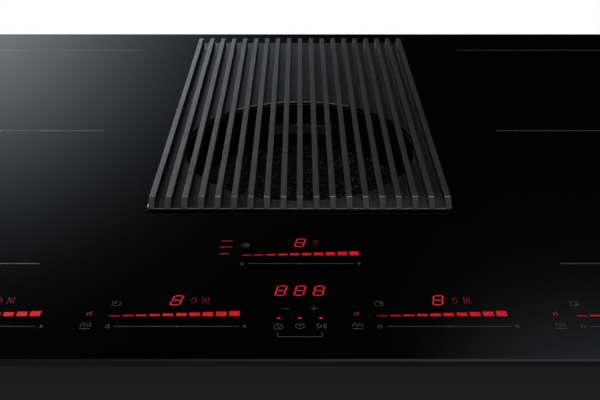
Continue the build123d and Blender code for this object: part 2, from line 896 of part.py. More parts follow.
with BuildPart() as motor_rotor:
    with BuildSketch(Plane((0, blower_y, rotor_under))):
        Circle(rotor_r)
    extrude(amount=rotor_h)
    with BuildSketch(Plane((0, blower_y, rotor_under))):
        Circle(rotor_r - rotor_wall)
    extrude(amount=rotor_h - rotor_wall, mode=Mode.SUBTRACT)
    with BuildSketch(Plane((0, blower_y, rotor_under))):
        Circle(shaft_r + press_clearance)
    extrude(amount=rotor_h, mode=Mode.SUBTRACT)
motor_rotor.part.label = "motor_rotor"
export_step(motor_rotor.part, "parts/motor_rotor.step")

with BuildPart() as motor_shaft:
    with BuildSketch(Plane((0, blower_y, shaft_under))):
        Circle(shaft_r)
    extrude(amount=hub_top - shaft_under)
motor_shaft.part.label = "motor_shaft"
export_step(motor_shaft.part, "parts/motor_shaft.step")

with BuildPart() as motor_mount:
    with BuildSketch(Plane((0, blower_y, mount_under))):
        Circle(mount_r)
    extrude(amount=mount_t)
    with BuildSketch(Plane((0, blower_y, mount_under))):
        Circle(sleeve_r)
    extrude(amount=sleeve_top - mount_under)
    with BuildSketch(Plane((0, blower_y, mount_under))):
        Circle(bush_r + press_clearance)
    extrude(amount=sleeve_top - mount_under, mode=Mode.SUBTRACT)
motor_mount.part.label = "motor_mount"
export_step(motor_mount.part, "parts/motor_mount.step")

# laminated ring with slots for its windings
with BuildPart() as motor_stator:
    with BuildSketch(Plane((0, blower_y, stator_under))):
        Circle(rotor_r - rotor_wall - air_gap)
        Circle(sleeve_r + press_clearance, mode=Mode.SUBTRACT)
        with PolarLocations(rotor_r - rotor_wall - slot_l / 2, slot_count):
            Rectangle(slot_l, slot_w, mode=Mode.SUBTRACT)
    extrude(amount=stator_h)
motor_stator.part.label = "motor_stator"
export_step(motor_stator.part, "parts/motor_stator.step")

with BuildPart() as motor_bushes:
    bush_planes = [Plane((0, blower_y, z)) for z in (mount_under, sleeve_top - bush_l)]
    with BuildSketch(*bush_planes):
        Circle(bush_r)
        Circle(shaft_r + running_clearance, mode=Mode.SUBTRACT)
    extrude(amount=bush_l)
motor_bushes.part.label = "motor_bushes"
export_step(motor_bushes.part, "parts/motor_bushes.step")

with BuildPart() as motor_dampers:
    with BuildSketch(Plane((0, blower_y, scroll_floor))):
        with PolarLocations(damper_circle_r, damper_count):
            Circle(damper_r)
    extrude(amount=damper_h)
motor_dampers.part.label = "motor_dampers"
export_step(motor_dampers.part, "parts/motor_dampers.step")

# ---------------------------------------------------------------------------
# Outlet duct
# ---------------------------------------------------------------------------

duct_in = Plane((outlet_x, outlet_joint_y, outlet_z), x_dir=(1, 0, 0), z_dir=(0, -1, 0))
duct_out = Plane((spigot_x, spigot_front, spigot_z), x_dir=(1, 0, 0), z_dir=(0, -1, 0))
with BuildPart() as outlet_duct:
    with BuildSketch(duct_in):
        Rectangle(outlet_w + 2 * outlet_wall, outlet_h + 2 * outlet_wall)
    with BuildSketch(duct_out):
        Rectangle(spigot_w, spigot_h)
    loft(ruled=True)
    with BuildSketch(duct_out):
        Rectangle(spigot_w, spigot_h)
    extrude(amount=-spigot_l)
    with BuildSketch(outlet_face):
        Rectangle(outlet_flange_l, lid_under - blower_under, align=(Align.CENTER, Align.MIN))
    extrude(amount=-duct_flange_t)
    with BuildSketch(duct_in):
        Rectangle(outlet_w, outlet_h)
    with BuildSketch(duct_out):
        Rectangle(spigot_w - 2 * outlet_wall, spigot_h - 2 * outlet_wall)
    loft(ruled=True, mode=Mode.SUBTRACT)
    with BuildSketch(duct_in):
        Rectangle(outlet_w, outlet_h)
    extrude(amount=duct_flange_t, mode=Mode.SUBTRACT)
    with BuildSketch(duct_out):
        Rectangle(spigot_w - 2 * outlet_wall, spigot_h - 2 * outlet_wall)
    extrude(amount=-spigot_l, mode=Mode.SUBTRACT)
    with BuildSketch(Plane.XZ.offset(-outlet_joint_y)):
        with Locations(*outlet_screw_points):
            Circle(screw_hole_r)
    extrude(amount=duct_flange_t, mode=Mode.SUBTRACT)
outlet_duct.part.label = "outlet_duct"
export_step(outlet_duct.part, "parts/outlet_duct.step")

# ---------------------------------------------------------------------------
# Drip tray and its rails
# ---------------------------------------------------------------------------

with BuildPart() as drip_tray:
    with BuildSketch(Plane((0, tray_y, tray_under))):
        RectangleRounded(tray_w, tray_d, tray_corner_r)
    extrude(amount=tray_h)
    with BuildSketch(Plane((0, tray_y, tray_under + tray_wall))):
        RectangleRounded(tray_w - 2 * tray_wall, tray_d - 2 * tray_wall, tray_corner_r - tray_wall)
    extrude(amount=tray_h, mode=Mode.SUBTRACT)
    # pull on the front wall
    with BuildSketch(Plane((0, tray_front, tray_top - tray_pull_t))):
        Rectangle(tray_pull_w, 2 * tray_pull_d)
        Rectangle(tray_pull_w, tray_pull_d, align=(Align.CENTER, Align.MIN), mode=Mode.SUBTRACT)
        Rectangle(tray_pull_w, tray_wall, align=(Align.CENTER, Align.MIN))
    extrude(amount=tray_pull_t)
drip_tray.part.label = "drip_tray"
export_step(drip_tray.part, "parts/drip_tray.step")

# each rail is a bent strip: a flange under the air box, a web and a lip under the tray
with BuildPart() as tray_rails:
    with BuildSketch(Plane.XZ.offset(-(tray_y + tray_d / 2))):
        with BuildLine():
            Polyline(
                (rail_outer_x + rail_flange_w, box_under),
                (rail_inner_x, box_under),
                (rail_inner_x, blower_under + rail_t),
                (rail_inner_x - rail_lip_w, blower_under + rail_t),
                (rail_inner_x - rail_lip_w, blower_under),
                (rail_outer_x, blower_under),
                (rail_outer_x, box_under - rail_t),
                (rail_outer_x + rail_flange_w, box_under - rail_t),
                close=True,
            )
        make_face()
        mirror(about=Plane.YZ)
    extrude(amount=tray_d)
    with BuildSketch(Plane.XY.offset(box_under - rail_t)):
        with Locations(*rail_screw_points):
            Circle(screw_hole_r)
    extrude(amount=rail_t, mode=Mode.SUBTRACT)
tray_rails.part.label = "tray_rails"
export_step(tray_rails.part, "parts/tray_rails.step")

# ---------------------------------------------------------------------------
# Casing of the electronics
# ---------------------------------------------------------------------------

# the floor is two plates under the bays, joined in front of and behind the air box by a strip
strip_w = opening_w - 2 * casing_joint
with BuildPart() as casing_floor_plates:
    with BuildSketch(Plane.XY.offset(casing_under)):
        with Locations((-casing_w / 2, 0)):
            Rectangle(casing_w / 2 - bay_inner_x, casing_d, align=(Align.MIN, Align.CENTER))
        with Locations((casing_w / 2, 0)):
            Rectangle(casing_w / 2 - bay_inner_x, casing_d, align=(Align.MAX, Align.CENTER))
        with Locations((0, -casing_d / 2)):
            Rectangle(strip_w, casing_d / 2 + opening_front, align=(Align.CENTER, Align.MIN))
        with Locations((0, casing_d / 2)):
            Rectangle(strip_w, casing_d / 2 - opening_back, align=(Align.CENTER, Align.MAX))
    extrude(amount=casing_wall)
    # the fans' intake slots, the exhaust slots and the holes for the flange screws
    with BuildSketch(Plane.XY.offset(casing_under)):
        with Locations((-fan_x, fan_y), (fan_x, fan_y)):
            with GridLocations(0, vent_pitch, 1, vent_count):
                SlotOverall(vent_slot_l, vent_slot_w)
        with Locations(
            (-bay_x, -casing_d / 2 + exhaust_setback), (bay_x, -casing_d / 2 + exhaust_setback)
        ):
            with GridLocations(exhaust_pitch, 0, exhaust_count, 1):
                SlotOverall(exhaust_slot_l, vent_slot_w, rotation=90)
        with Locations(*flange_screw_points):
            Circle(screw_hole_r)
    extrude(amount=casing_wall, mode=Mode.SUBTRACT)
casing_floor_plates.part.label = "casing_floor_plates"
export_step(casing_floor_plates.part, "parts/casing_floor_plates.step")

side_wall_l = casing_d - 2 * (casing_wall + casing_joint)
with BuildPart() as casing_walls:
    with BuildSketch(Plane.XY.offset(casing_floor)):
        with Locations((-casing_w / 2, 0)):
            Rectangle(casing_wall, side_wall_l, align=(Align.MIN, Align.CENTER))
        with Locations((casing_w / 2, 0)):
            Rectangle(casing_wall, side_wall_l, align=(Align.MAX, Align.CENTER))
        with Locations((0, -casing_d / 2)):
            Rectangle(casing_w, casing_wall, align=(Align.CENTER, Align.MIN))
        with Locations((0, casing_d / 2)):
            Rectangle(casing_w, casing_wall, align=(Align.CENTER, Align.MAX))
    extrude(amount=casing_h - casing_wall)
    # holes for the clip screws and the cable gland
    with BuildSketch(*clip_seats):
        Circle(screw_hole_r)
    extrude(amount=-(clip_t + casing_wall), mode=Mode.SUBTRACT)
    with BuildSketch(Plane.XZ.offset(-casing_d / 2)):
        with Locations((gland_x, gland_z)):
            Circle(gland_r + gland_clearance)
    extrude(amount=casing_wall, mode=Mode.SUBTRACT)
casing_walls.part.label = "casing_walls"
export_step(casing_walls.part, "parts/casing_walls.step")

with BuildPart() as board_posts:
    with BuildSketch(Plane.XY.offset(casing_floor)):
        with Locations(*board_post_points):
            Circle(board_post_r)
    extrude(amount=board_lift)
board_posts.part.label = "board_posts"
export_step(board_posts.part, "parts/board_posts.step")

# each clip is a leaf that leans out into the worktop's cut-out
clip_top = glass_under - clip_top_gap
clip_bend = clip_screw_z - clip_screw_drop
clip_face = casing_w / 2
with BuildPart() as worktop_clips:
    with BuildSketch(*[Plane.XZ.offset(-(y + clip_w / 2)) for y in (-clip_y, clip_y)]):
        with BuildLine():
            Polyline(
                (clip_face, clip_top),
                (clip_face + clip_t, clip_top),
                (clip_face + clip_t, clip_bend),
                (clip_face + clip_t + clip_bulge, (clip_bend + clip_top - clip_h) / 2),
                (clip_face + clip_t, clip_top - clip_h),
                (clip_face, clip_top - clip_h),
                (clip_face + clip_bulge, (clip_bend + clip_top - clip_h) / 2),
                (clip_face, clip_bend),
                close=True,
            )
        make_face()
        mirror(about=Plane.YZ)
    extrude(amount=clip_w)
    with BuildSketch(*clip_seats):
        Circle(screw_hole_r)
    extrude(amount=-clip_t, mode=Mode.SUBTRACT)
worktop_clips.part.label = "worktop_clips"
export_step(worktop_clips.part, "parts/worktop_clips.step")

# ---------------------------------------------------------------------------
# Coils under the four zones
# ---------------------------------------------------------------------------

with BuildPart() as mica_sheets:
    with BuildSketch(Plane.XY.offset(mica_under)):
        with Locations((-zone_x, zone_mid_y), (zone_x, zone_mid_y)):
            Rectangle(2 * coil_r + mica_margin, 2 * zone_d)
    extrude(amount=mica_t)
mica_sheets.part.label = "mica_sheets"
export_step(mica_sheets.part, "parts/mica_sheets.step")

with BuildPart() as coil_windings:
    with BuildSketch(Plane.XY.offset(coil_under)):
        with Locations(*coil_points):
            Circle(coil_r)
            Circle(coil_bore_r, mode=Mode.SUBTRACT)
    extrude(amount=coil_t)
coil_windings.part.label = "coil_windings"
export_step(coil_windings.part, "parts/coil_windings.step")

with BuildPart() as coil_carriers:
    with BuildSketch(Plane.XY.offset(carrier_under)):
        with Locations(*coil_points):
            Circle(coil_r + carrier_rim)
            Circle(coil_r + carrier_rim - carrier_ring_w, mode=Mode.SUBTRACT)
            Circle(coil_bore_r)
            with PolarLocations((coil_r + coil_bore_r) / 2, ferrite_count):
                Rectangle(coil_r - coil_bore_r + 2 * carrier_rim, carrier_arm_w)
    extrude(amount=carrier_t)
coil_carriers.part.label = "coil_carriers"
export_step(coil_carriers.part, "parts/coil_carriers.step")

with BuildPart() as ferrite_bars:
    with BuildSketch(Plane.XY.offset(carrier_under - ferrite_t)):
        with Locations(*coil_points):
            with PolarLocations((coil_r + coil_bore_r) / 2, ferrite_count):
                Rectangle(ferrite_l, ferrite_w)
    extrude(amount=ferrite_t)
ferrite_bars.part.label = "ferrite_bars"
export_step(ferrite_bars.part, "parts/ferrite_bars.step")

with BuildPart() as temperature_sensors:
    with BuildSketch(Plane.XY.offset(coil_under)):
        with Locations(*coil_points):
            Circle(sensor_r)
    extrude(amount=coil_t)
temperature_sensors.part.label = "temperature_sensors"
export_step(temperature_sensors.part, "parts/temperature_sensors.step")

# the springs stand between the ferrite bars and press the coils to the glass
spring_circle_r = coil_r + carrier_rim - carrier_ring_w / 2
with BuildPart() as coil_springs:
    with BuildSketch(Plane.XY.offset(coil_plate_top)):
        with Locations(*coil_points):
            with PolarLocations(spring_circle_r, spring_count, start_angle=180 / ferrite_count):
                Circle(spring_r)
                Circle(spring_r - spring_wall, mode=Mode.SUBTRACT)
    extrude(amount=spring_h)
coil_springs.part.label = "coil_springs"
export_step(coil_springs.part, "parts/coil_springs.step")

with BuildPart() as plate_posts:
    with BuildSketch(Plane.XY.offset(casing_floor)):
        with Locations(*plate_post_points):
            Circle(plate_post_r)
    extrude(amount=coil_plate_under - casing_floor)
plate_posts.part.label = "plate_posts"
export_step(plate_posts.part, "parts/plate_posts.step")

# ---------------------------------------------------------------------------
# Left and right bays: coil plate, power board, heatsink and cooling fan
# ---------------------------------------------------------------------------

fin_gap = (heatsink_w - fin_count * fin_t) / (fin_count - 1)
fan_under = casing_floor
fan_top = fan_under + fan_h
fan_rotor_under = fan_under + fan_wall + fan_rotor_gap

for side_name, side in (("left", -1), ("right", 1)):
    with BuildPart() as coil_plate:
        with BuildSketch(Plane((side * bay_x, zone_mid_y, coil_plate_under))):
            Rectangle(coil_plate_w, coil_plate_d)
        extrude(amount=coil_plate_t)
    coil_plate.part.label = f"coil_plate_{side_name}"
    export_step(coil_plate.part, f"parts/coil_plate_{side_name}.step")

    with BuildPart() as power_board:
        with BuildSketch(Plane((side * bay_x, power_board_y, board_under))):
            Rectangle(power_board_w, power_board_d)
        extrude(amount=board_t)
    power_board.part.label = f"power_board_{side_name}"
    export_step(power_board.part, f"parts/power_board_{side_name}.step")

    with BuildPart() as heatsink:
        with BuildSketch(Plane((side * fan_x, heatsink_y, board_top))):
            Rectangle(heatsink_w, heatsink_d)
        extrude(amount=heatsink_base_t)
        with BuildSketch(Plane((side * fan_x, heatsink_y, board_top))):
            with GridLocations(fin_t + fin_gap, 0, fin_count, 1):
                Rectangle(fin_t, heatsink_d)
        extrude(amount=heatsink_h)
    heatsink.part.label = f"heatsink_{side_name}"
    export_step(heatsink.part, f"parts/heatsink_{side_name}.step")

    # the fan draws air through the casing's floor and blows it forward over the heatsink
    with BuildPart() as fan_housing:
        with BuildSketch(Plane((side * fan_x, fan_y, fan_under))):
            Rectangle(fan_w, fan_w)
        extrude(amount=fan_h)
        with BuildSketch(Plane((side * fan_x, fan_y, fan_under + fan_wall))):
            Circle(fan_cavity_r)
            with Locations((0, -fan_w / 2)):
                Rectangle(fan_cavity_r, fan_w / 2, align=(Align.MIN, Align.MIN))
        extrude(amount=fan_h - 2 * fan_wall, mode=Mode.SUBTRACT)
        with BuildSketch(Plane((side * fan_x, fan_y, fan_under))):
            Circle(fan_intake_r)
        extrude(amount=fan_wall, mode=Mode.SUBTRACT)
        with BuildSketch(Plane((side * fan_x, fan_y, fan_top - fan_wall))):
            Circle(fan_boss_r)
        extrude(amount=-fan_boss_h)
        with BuildSketch(Plane((side * fan_x, fan_y, fan_top - fan_wall - fan_boss_h))):
            Circle(fan_pin_r + running_clearance)
        extrude(amount=fan_wall + fan_boss_h, mode=Mode.SUBTRACT)
    fan_housing.part.label = f"fan_housing_{side_name}"
    export_step(fan_housing.part, f"parts/fan_housing_{side_name}.step")

    with BuildPart() as fan_rotor:
        with BuildSketch(Plane((side * fan_x, fan_y, fan_rotor_under))):
            Circle(fan_hub_r)
            with PolarLocations(fan_rotor_r - fan_blade_l / 2, fan_blade_count):
                SlotOverall(fan_blade_l, fan_blade_t, rotation=blade_angle)
        extrude(amount=fan_rotor_h - fan_boss_h)
        with BuildSketch(Plane((side * fan_x, fan_y, fan_rotor_under))):
            Circle(fan_rotor_r - fan_blade_l / 2)
        extrude(amount=fan_disc_t)
        with BuildSketch(Plane((side * fan_x, fan_y, fan_rotor_under))):
            Circle(fan_pin_r)
        extrude(amount=fan_top - fan_rotor_under - fan_wall / 2)
    fan_rotor.part.label = f"fan_rotor_{side_name}"
    export_step(fan_rotor.part, f"parts/fan_rotor_{side_name}.step")

# transistors against the heatsinks' outer sides, capacitors and chokes in front of them
transistor_x = fan_x + heatsink_w / 2 + transistor_t / 2
with BuildPart() as power_transistors:
    with BuildSketch(Plane.XY.offset(board_top)):
        with Locations((-transistor_x, heatsink_y), (transistor_x, heatsink_y)):
            with GridLocations(0, heatsink_d / transistor_count, 1, transistor_count):
                Rectangle(transistor_t, transistor_w)
    extrude(amount=transistor_h)
power_transistors.part.label = "power_transistors"
export_step(power_transistors.part, "parts/power_transistors.step")

capacitor_y = heatsink_y - heatsink_d / 2 - board_edge - capacitor_d / 2
with BuildPart() as capacitors:
    with BuildSketch(Plane.XY.offset(board_top)):
        with Locations((-bay_x, capacitor_y), (bay_x, capacitor_y)):
            with GridLocations(capacitor_w + board_edge, 0, capacitor_count, 1):
                Rectangle(capacitor_w, capacitor_d)
    extrude(amount=capacitor_h)
capacitors.part.label = "capacitors"
export_step(capacitors.part, "parts/capacitors.step")

choke_y = capacitor_y - capacitor_d / 2 - board_edge - choke_r
with BuildPart() as chokes:
    with BuildSketch(Plane.XY.offset(board_top)):
        with Locations((-bay_x, choke_y), (bay_x, choke_y)):
            with GridLocations(2 * choke_r + board_edge, 0, choke_count, 1):
                Circle(choke_r)
                Circle(choke_bore_r, mode=Mode.SUBTRACT)
    extrude(amount=choke_h)
chokes.part.label = "chokes"
export_step(chokes.part, "parts/chokes.step")

# ---------------------------------------------------------------------------
# Mains supply
# ---------------------------------------------------------------------------

with BuildPart() as mains_board:
    with BuildSketch(Plane((mains_board_x, mains_board_y, board_under))):
        Rectangle(mains_board_w, mains_board_d)
    extrude(amount=board_t)
    with BuildSketch(Plane((mains_board_x, mains_board_y, board_top))):
        with GridLocations(0, capacitor_w + board_edge, 1, mains_capacitor_count):
            Rectangle(capacitor_w, capacitor_d)
    extrude(amount=capacitor_h)
mains_board.part.label = "mains_board"
export_step(mains_board.part, "parts/mains_board.step")

with BuildPart() as terminal_block:
    with BuildSketch(Plane((terminal_x, terminal_y, casing_floor))):
        Rectangle(terminal_w, terminal_d)
    extrude(amount=terminal_h)
    with BuildSketch(Plane((terminal_x, terminal_y, casing_floor + terminal_h))):
        with GridLocations(terminal_w / terminal_ways, 0, terminal_ways, 1):
            Circle(terminal_way_r)
    extrude(amount=-terminal_h / 2, mode=Mode.SUBTRACT)
terminal_block.part.label = "terminal_block"
export_step(terminal_block.part, "parts/terminal_block.step")

# the gland's flange is outside the casing's back wall and its nut inside
gland_axis = Plane((gland_x, casing_d / 2, gland_z), x_dir=(1, 0, 0), z_dir=(0, 1, 0))
with BuildPart() as cable_gland:
    with BuildSketch(gland_axis):
        Circle(gland_flange_r)
    extrude(amount=gland_flange_t)
    with BuildSketch(gland_axis.offset(gland_flange_t)):
        Circle(gland_r)
    extrude(amount=-gland_l)
    with BuildSketch(gland_axis.offset(-casing_wall)):
        RegularPolygon(gland_flange_r, 6)
    extrude(amount=-gland_nut_t)
    with BuildSketch(gland_axis.offset(gland_flange_t)):
        Circle(gland_bore_r)
    extrude(amount=-gland_l, mode=Mode.SUBTRACT)
cable_gland.part.label = "cable_gland"
export_step(cable_gland.part, "parts/cable_gland.step")

# ---------------------------------------------------------------------------
# Control unit under the front of the glass
# ---------------------------------------------------------------------------

with BuildPart() as control_board:
    with BuildSketch(Plane.XY.offset(control_under)):
        with Locations((0, control_y)):
            Rectangle(control_w, control_d)
        with Locations((0, control_tab_y)):
            Rectangle(control_tab_w, control_tab_d)
    extrude(amount=board_t)
control_board.part.label = "control_board"
export_step(control_board.part, "parts/control_board.step")

with BuildPart() as display_carrier:
    with BuildSketch(Plane.XY.offset(carrier_plate_under)):
        with Locations((0, control_y)):
            Rectangle(control_w + 2 * carrier_edge, control_d + 2 * carrier_edge)
        with Locations((0, control_tab_y)):
            Rectangle(control_tab_w + 2 * carrier_edge, control_tab_d + 2 * carrier_edge)
    extrude(amount=carrier_plate_t)
    with BuildSketch(Plane((0, control_y, casing_floor))):
        with GridLocations(2 * carrier_leg_x, 2 * carrier_leg_y, 2, 2):
            Circle(carrier_leg_r)
    extrude(amount=carrier_plate_under - casing_floor)
display_carrier.part.label = "display_carrier"
export_step(display_carrier.part, "parts/display_carrier.step")

digit_points = [(x, front_edge + slider_digit_setback) for x in slider_centres]
digit_points += [(0, front_edge + fan_digit_setback)]
with BuildPart() as display_modules:
    with BuildSketch(Plane.XY.offset(control_top)):
        with Locations(*digit_points):
            Rectangle(digit_w, digit_d)
        with Locations((0, front_edge + timer_setback)):
            Rectangle(timer_w, digit_d)
    extrude(amount=control_depth - digit_gap)
display_modules.part.label = "display_modules"
export_step(display_modules.part, "parts/display_modules.step")

touch_steps = (-slider_touch_pitch, 0, slider_touch_pitch)
slider_touch_y = front_edge + slider_touch_setback
touch_points = [(x + step, slider_touch_y) for x in slider_centres for step in touch_steps]
touch_points += [(step, front_edge + fan_touch_setback) for step in touch_steps]
touch_points += [(x, front_edge + key_setback) for x in (-key_pitch, 0, key_pitch)]
touch_points += [(x, front_edge + timer_key_setback) for x in (-timer_key_x, timer_key_x)]
with BuildPart() as touch_springs:
    with BuildSketch(Plane.XY.offset(control_top)):
        with Locations(*touch_points):
            Circle(touch_r)
            Circle(touch_r - touch_wall, mode=Mode.SUBTRACT)
    extrude(amount=control_depth)
touch_springs.part.label = "touch_springs"
export_step(touch_springs.part, "parts/touch_springs.step")

# ---------------------------------------------------------------------------
# Screws: all the same pan-head screw
# ---------------------------------------------------------------------------

screw_seats = list(clip_seats)
screw_seats += [facing_down(x, y, box_flange_under) for x, y in flange_screw_points]
screw_seats += [facing_down(x, y, scroll_flange_under) for x, y in hang_points]
screw_seats += [facing_down(x, y, box_under - rail_t) for x, y in rail_screw_points]
screw_seats += [
    Plane((x, outlet_y - outlet_flange_t, z), x_dir=(1, 0, 0), z_dir=(0, -1, 0))
    for x, z in outlet_screw_points
]
with BuildPart() as screws_m4:
    with BuildSketch(*screw_seats):
        Circle(screw_head_r)
    extrude(amount=screw_head_h)
    with BuildSketch(*screw_seats):
        Circle(screw_r)
    extrude(amount=-screw_l)
screws_m4.part.label = "screws_m4"
export_step(screws_m4.part, "parts/screws_m4.step")
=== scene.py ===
# %% [markdown]
# # A downdraft induction cooktop
# A sheet of black ceramic glass with four cooking zones, and in its middle a slatted grille that
# takes in the cooking vapour. The solids below come from the CAD frame. This lesson dresses them:
# it rebuilds the pieces that the eye meets first, prints the controls on the glass, gives every
# surface its own finish, and lights the whole as on a studio table.

# %% Tools and the frame
import json
from math import cos, radians, sin

import bmesh
import bpy
from mathutils import Matrix, Vector

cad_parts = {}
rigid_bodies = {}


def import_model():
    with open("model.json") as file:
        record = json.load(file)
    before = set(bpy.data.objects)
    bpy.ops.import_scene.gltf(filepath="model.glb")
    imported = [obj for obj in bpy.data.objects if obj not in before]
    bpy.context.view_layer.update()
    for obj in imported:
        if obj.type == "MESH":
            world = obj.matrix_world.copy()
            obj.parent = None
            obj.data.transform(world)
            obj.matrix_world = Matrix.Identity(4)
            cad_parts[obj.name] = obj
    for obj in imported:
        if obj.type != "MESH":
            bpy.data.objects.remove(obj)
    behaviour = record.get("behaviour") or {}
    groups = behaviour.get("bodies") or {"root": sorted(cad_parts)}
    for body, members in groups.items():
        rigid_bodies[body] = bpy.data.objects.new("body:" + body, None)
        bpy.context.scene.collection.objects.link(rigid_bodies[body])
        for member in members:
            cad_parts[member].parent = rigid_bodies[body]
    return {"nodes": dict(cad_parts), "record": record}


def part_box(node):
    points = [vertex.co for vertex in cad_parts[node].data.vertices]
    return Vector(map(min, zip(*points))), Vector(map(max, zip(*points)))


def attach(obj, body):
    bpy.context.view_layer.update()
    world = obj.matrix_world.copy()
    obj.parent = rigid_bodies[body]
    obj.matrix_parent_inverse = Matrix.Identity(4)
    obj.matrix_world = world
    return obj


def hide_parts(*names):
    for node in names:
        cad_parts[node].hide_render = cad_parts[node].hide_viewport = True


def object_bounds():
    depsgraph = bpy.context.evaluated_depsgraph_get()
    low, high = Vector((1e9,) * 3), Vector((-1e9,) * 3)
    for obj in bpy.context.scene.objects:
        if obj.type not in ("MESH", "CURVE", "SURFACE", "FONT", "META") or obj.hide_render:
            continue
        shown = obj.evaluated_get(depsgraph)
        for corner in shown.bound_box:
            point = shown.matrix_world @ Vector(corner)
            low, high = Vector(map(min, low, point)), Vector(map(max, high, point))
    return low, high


for leftover in list(bpy.data.objects):
    bpy.data.objects.remove(leftover)

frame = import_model()
cad_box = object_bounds()
scene = bpy.context.scene
nodes = frame["nodes"]

# %% [markdown]
# ## Measures
# The plan is in millimetres, because the printed controls are small, and each finished mesh is
# scaled to metres once. The levels are read from the solids, so that a new frame moves them too.

# %% Levels of the glass and the grille
MM = 0.001


def span(node, axis):
    """The lowest and highest value of a solid along one axis, in millimetres."""
    low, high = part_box(node)
    return low[axis] / MM, high[axis] / MM


glass_top = span("glass_top", 2)[1]
plate_low, plate_top = span("grille_plate", 2)
slat_top = span("grille_slats", 2)[1]
grille_x = span("grille_plate", 0)
grille_y = span("grille_plate", 1)
slats_y = span("grille_slats", 1)
mesh_low, mesh_top = span("filter_mesh", 2)
mouth_y = sum(span("filter_basket", 1)) / 2
basket_low, basket_top = span("filter_basket", 2)
heights = (glass_top, plate_low, plate_top, slat_top)
print("glass top %.2f, plate %.2f to %.2f, slats to %.2f mm" % heights)

# %% [markdown]
# ## From a mesh in the making to a piece
# Every new piece ends the same way: its mesh goes from millimetres to metres, its faces are shaded
# smooth but for the real edges, and it rides on the body that it belongs to. Its object stays at
# the origin, with its place in its mesh, so that patterns on object coordinates stay put.


# %% Finishing a piece
def meshed(shape, name):
    """Turns a bmesh into a mesh."""
    mesh = bpy.data.meshes.new(name)
    shape.to_mesh(mesh)
    shape.free()
    return mesh


def linked(name, data):
    """A new object in the scene."""
    made = bpy.data.objects.new(name, data)
    scene.collection.objects.link(made)
    return made


def finished(shape, name, materials, body, slot, stands_for=(), crease=32.0, flats=False):
    """Makes a piece from a bmesh in millimetres. With flats its broad faces are shaded evenly."""
    bmesh.ops.scale(shape, vec=(MM, MM, MM), verts=shape.verts)
    mesh = meshed(shape, name)
    mesh.shade_smooth()
    mesh.set_sharp_from_angle(angle=radians(crease))
    for material in materials:
        mesh.materials.append(material)
    piece = linked(name, mesh)
    if flats:
        even = piece.modifiers.new("flat_faces", "WEIGHTED_NORMAL")
        even.keep_sharp = True
    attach(piece, body)
    if stands_for:
        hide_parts(*stands_for)
    print("piece", name, len(mesh.polygons), "faces")


# %% [markdown]
# ## Boxes and strokes
# The slats, the lit bars and most of the print are boxes. A straight stroke of print could be a
# flat face, but it would flicker against the glass, so it is a very thin box, turned and put in
# its place. A curved stroke is a small upright face spun about its centre, because a spin gives
# any part of a turn.


# %% Boxes
def block(shape, x, y, z):
    """Adds a box between the two values of x, y and z, and returns its corners."""
    corners = bmesh.ops.create_cube(shape, size=1.0)["verts"]
    size = [high - low for low, high in (x, y, z)]
    bmesh.ops.scale(shape, vec=size, verts=corners)
    bmesh.ops.translate(shape, vec=[sum(ends) / 2 for ends in (x, y, z)], verts=corners)
    return corners


# %% Straight strokes
ink_height = 0.02
ink = (glass_top, glass_top + ink_height)
hair, pen, broad = 0.3, 0.35, 0.4


def stroke(shape, start, end, width):
    """Adds a thin straight stroke from start to end, both (x, y), and returns its corners."""
    start, end = Vector(start), Vector(end)
    way = end - start
    corners = block(shape, (0, way.length), (-width / 2, width / 2), ink)
    turn = Matrix.Rotation(-Vector((1, 0)).angle_signed(way), 4, "Z")
    bmesh.ops.transform(shape, matrix=Matrix.Translation((*start, 0)) @ turn, verts=corners)
    return corners


# %% Curved strokes
def spun(shape, parts, centre, sweep, steps):
    """Spins an upright outline about the upright axis through the centre (x, y)."""
    bmesh.ops.spin(
        shape,
        geom=parts,
        cent=(*centre, 0),
        axis=(0, 0, 1),
        angle=radians(sweep),
        steps=steps,
        use_merge=abs(sweep) >= 360,
        use_duplicate=False,
    )


def rotated(shape, degrees, axis, verts):
    """Rotates vertices about an axis through the origin."""
    bmesh.ops.rotate(shape, matrix=Matrix.Rotation(radians(degrees), 3, axis), verts=verts)


def arc(shape, centre, radius, width, start, sweep, steps=16):
    """Adds a thin curved stroke: a small upright face spun about the centre."""
    made = bmesh.ops.create_grid(shape, x_segments=1, y_segments=1, size=0.5)["verts"]
    rotated(shape, 90, "X", made)
    bmesh.ops.scale(shape, vec=(width, 1, ink_height), verts=made)
    bmesh.ops.translate(shape, vec=(radius, 0, sum(ink) / 2), verts=made)
    rotated(shape, start, "Z", made)
    bmesh.ops.translate(shape, vec=(*centre, 0), verts=made)
    face = list({f for v in made for f in v.link_faces})
    edges = list({e for f in face for e in f.edges})
    spun(shape, made + edges + face, centre, sweep, steps)
    if abs(sweep) >= 360:
        bmesh.ops.delete(shape, geom=[f for f in face if f.is_valid], context="FACES_ONLY")


print("strokes lie between %.2f and %.2f mm" % ink)

# %% [markdown]
# ## Effects that several finishes share
# Real surfaces are never even: enamel drifts a little in gloss, moulded plastic has a fine grain,
# sheet metal is brushed one way, edges are rubbed bright and dust lies on what faces up. Each
# effect is a node group with a few named inputs and one output, built once. The groups give only
# masks, heights and one normal, and the shader itself stays in the material. Setting each socket
# by hand makes a long script, so one function places a node and feeds its inputs, and a recipe
# then reads as a list of what goes in.


# %% Placing nodes
def feed(tree, socket, value):
    """Sets an input socket to a value, or links it to an output socket."""
    if isinstance(value, bpy.types.NodeSocket):
        tree.links.new(value, socket)
    else:
        socket.default_value = value


def add(tree, kind, inputs=(), **settings):
    """A new shader node with these settings. Each input is a value or an output socket."""
    made = tree.nodes.new("ShaderNode" + kind)
    for label, value in settings.items():
        setattr(made, label, value)
    for label, value in dict(inputs).items():
        feed(tree, made.inputs[label], value)
    return made


def spot(tree):
    """The place of a point in its object's coordinates."""
    return add(tree, "TexCoord").outputs["Object"]


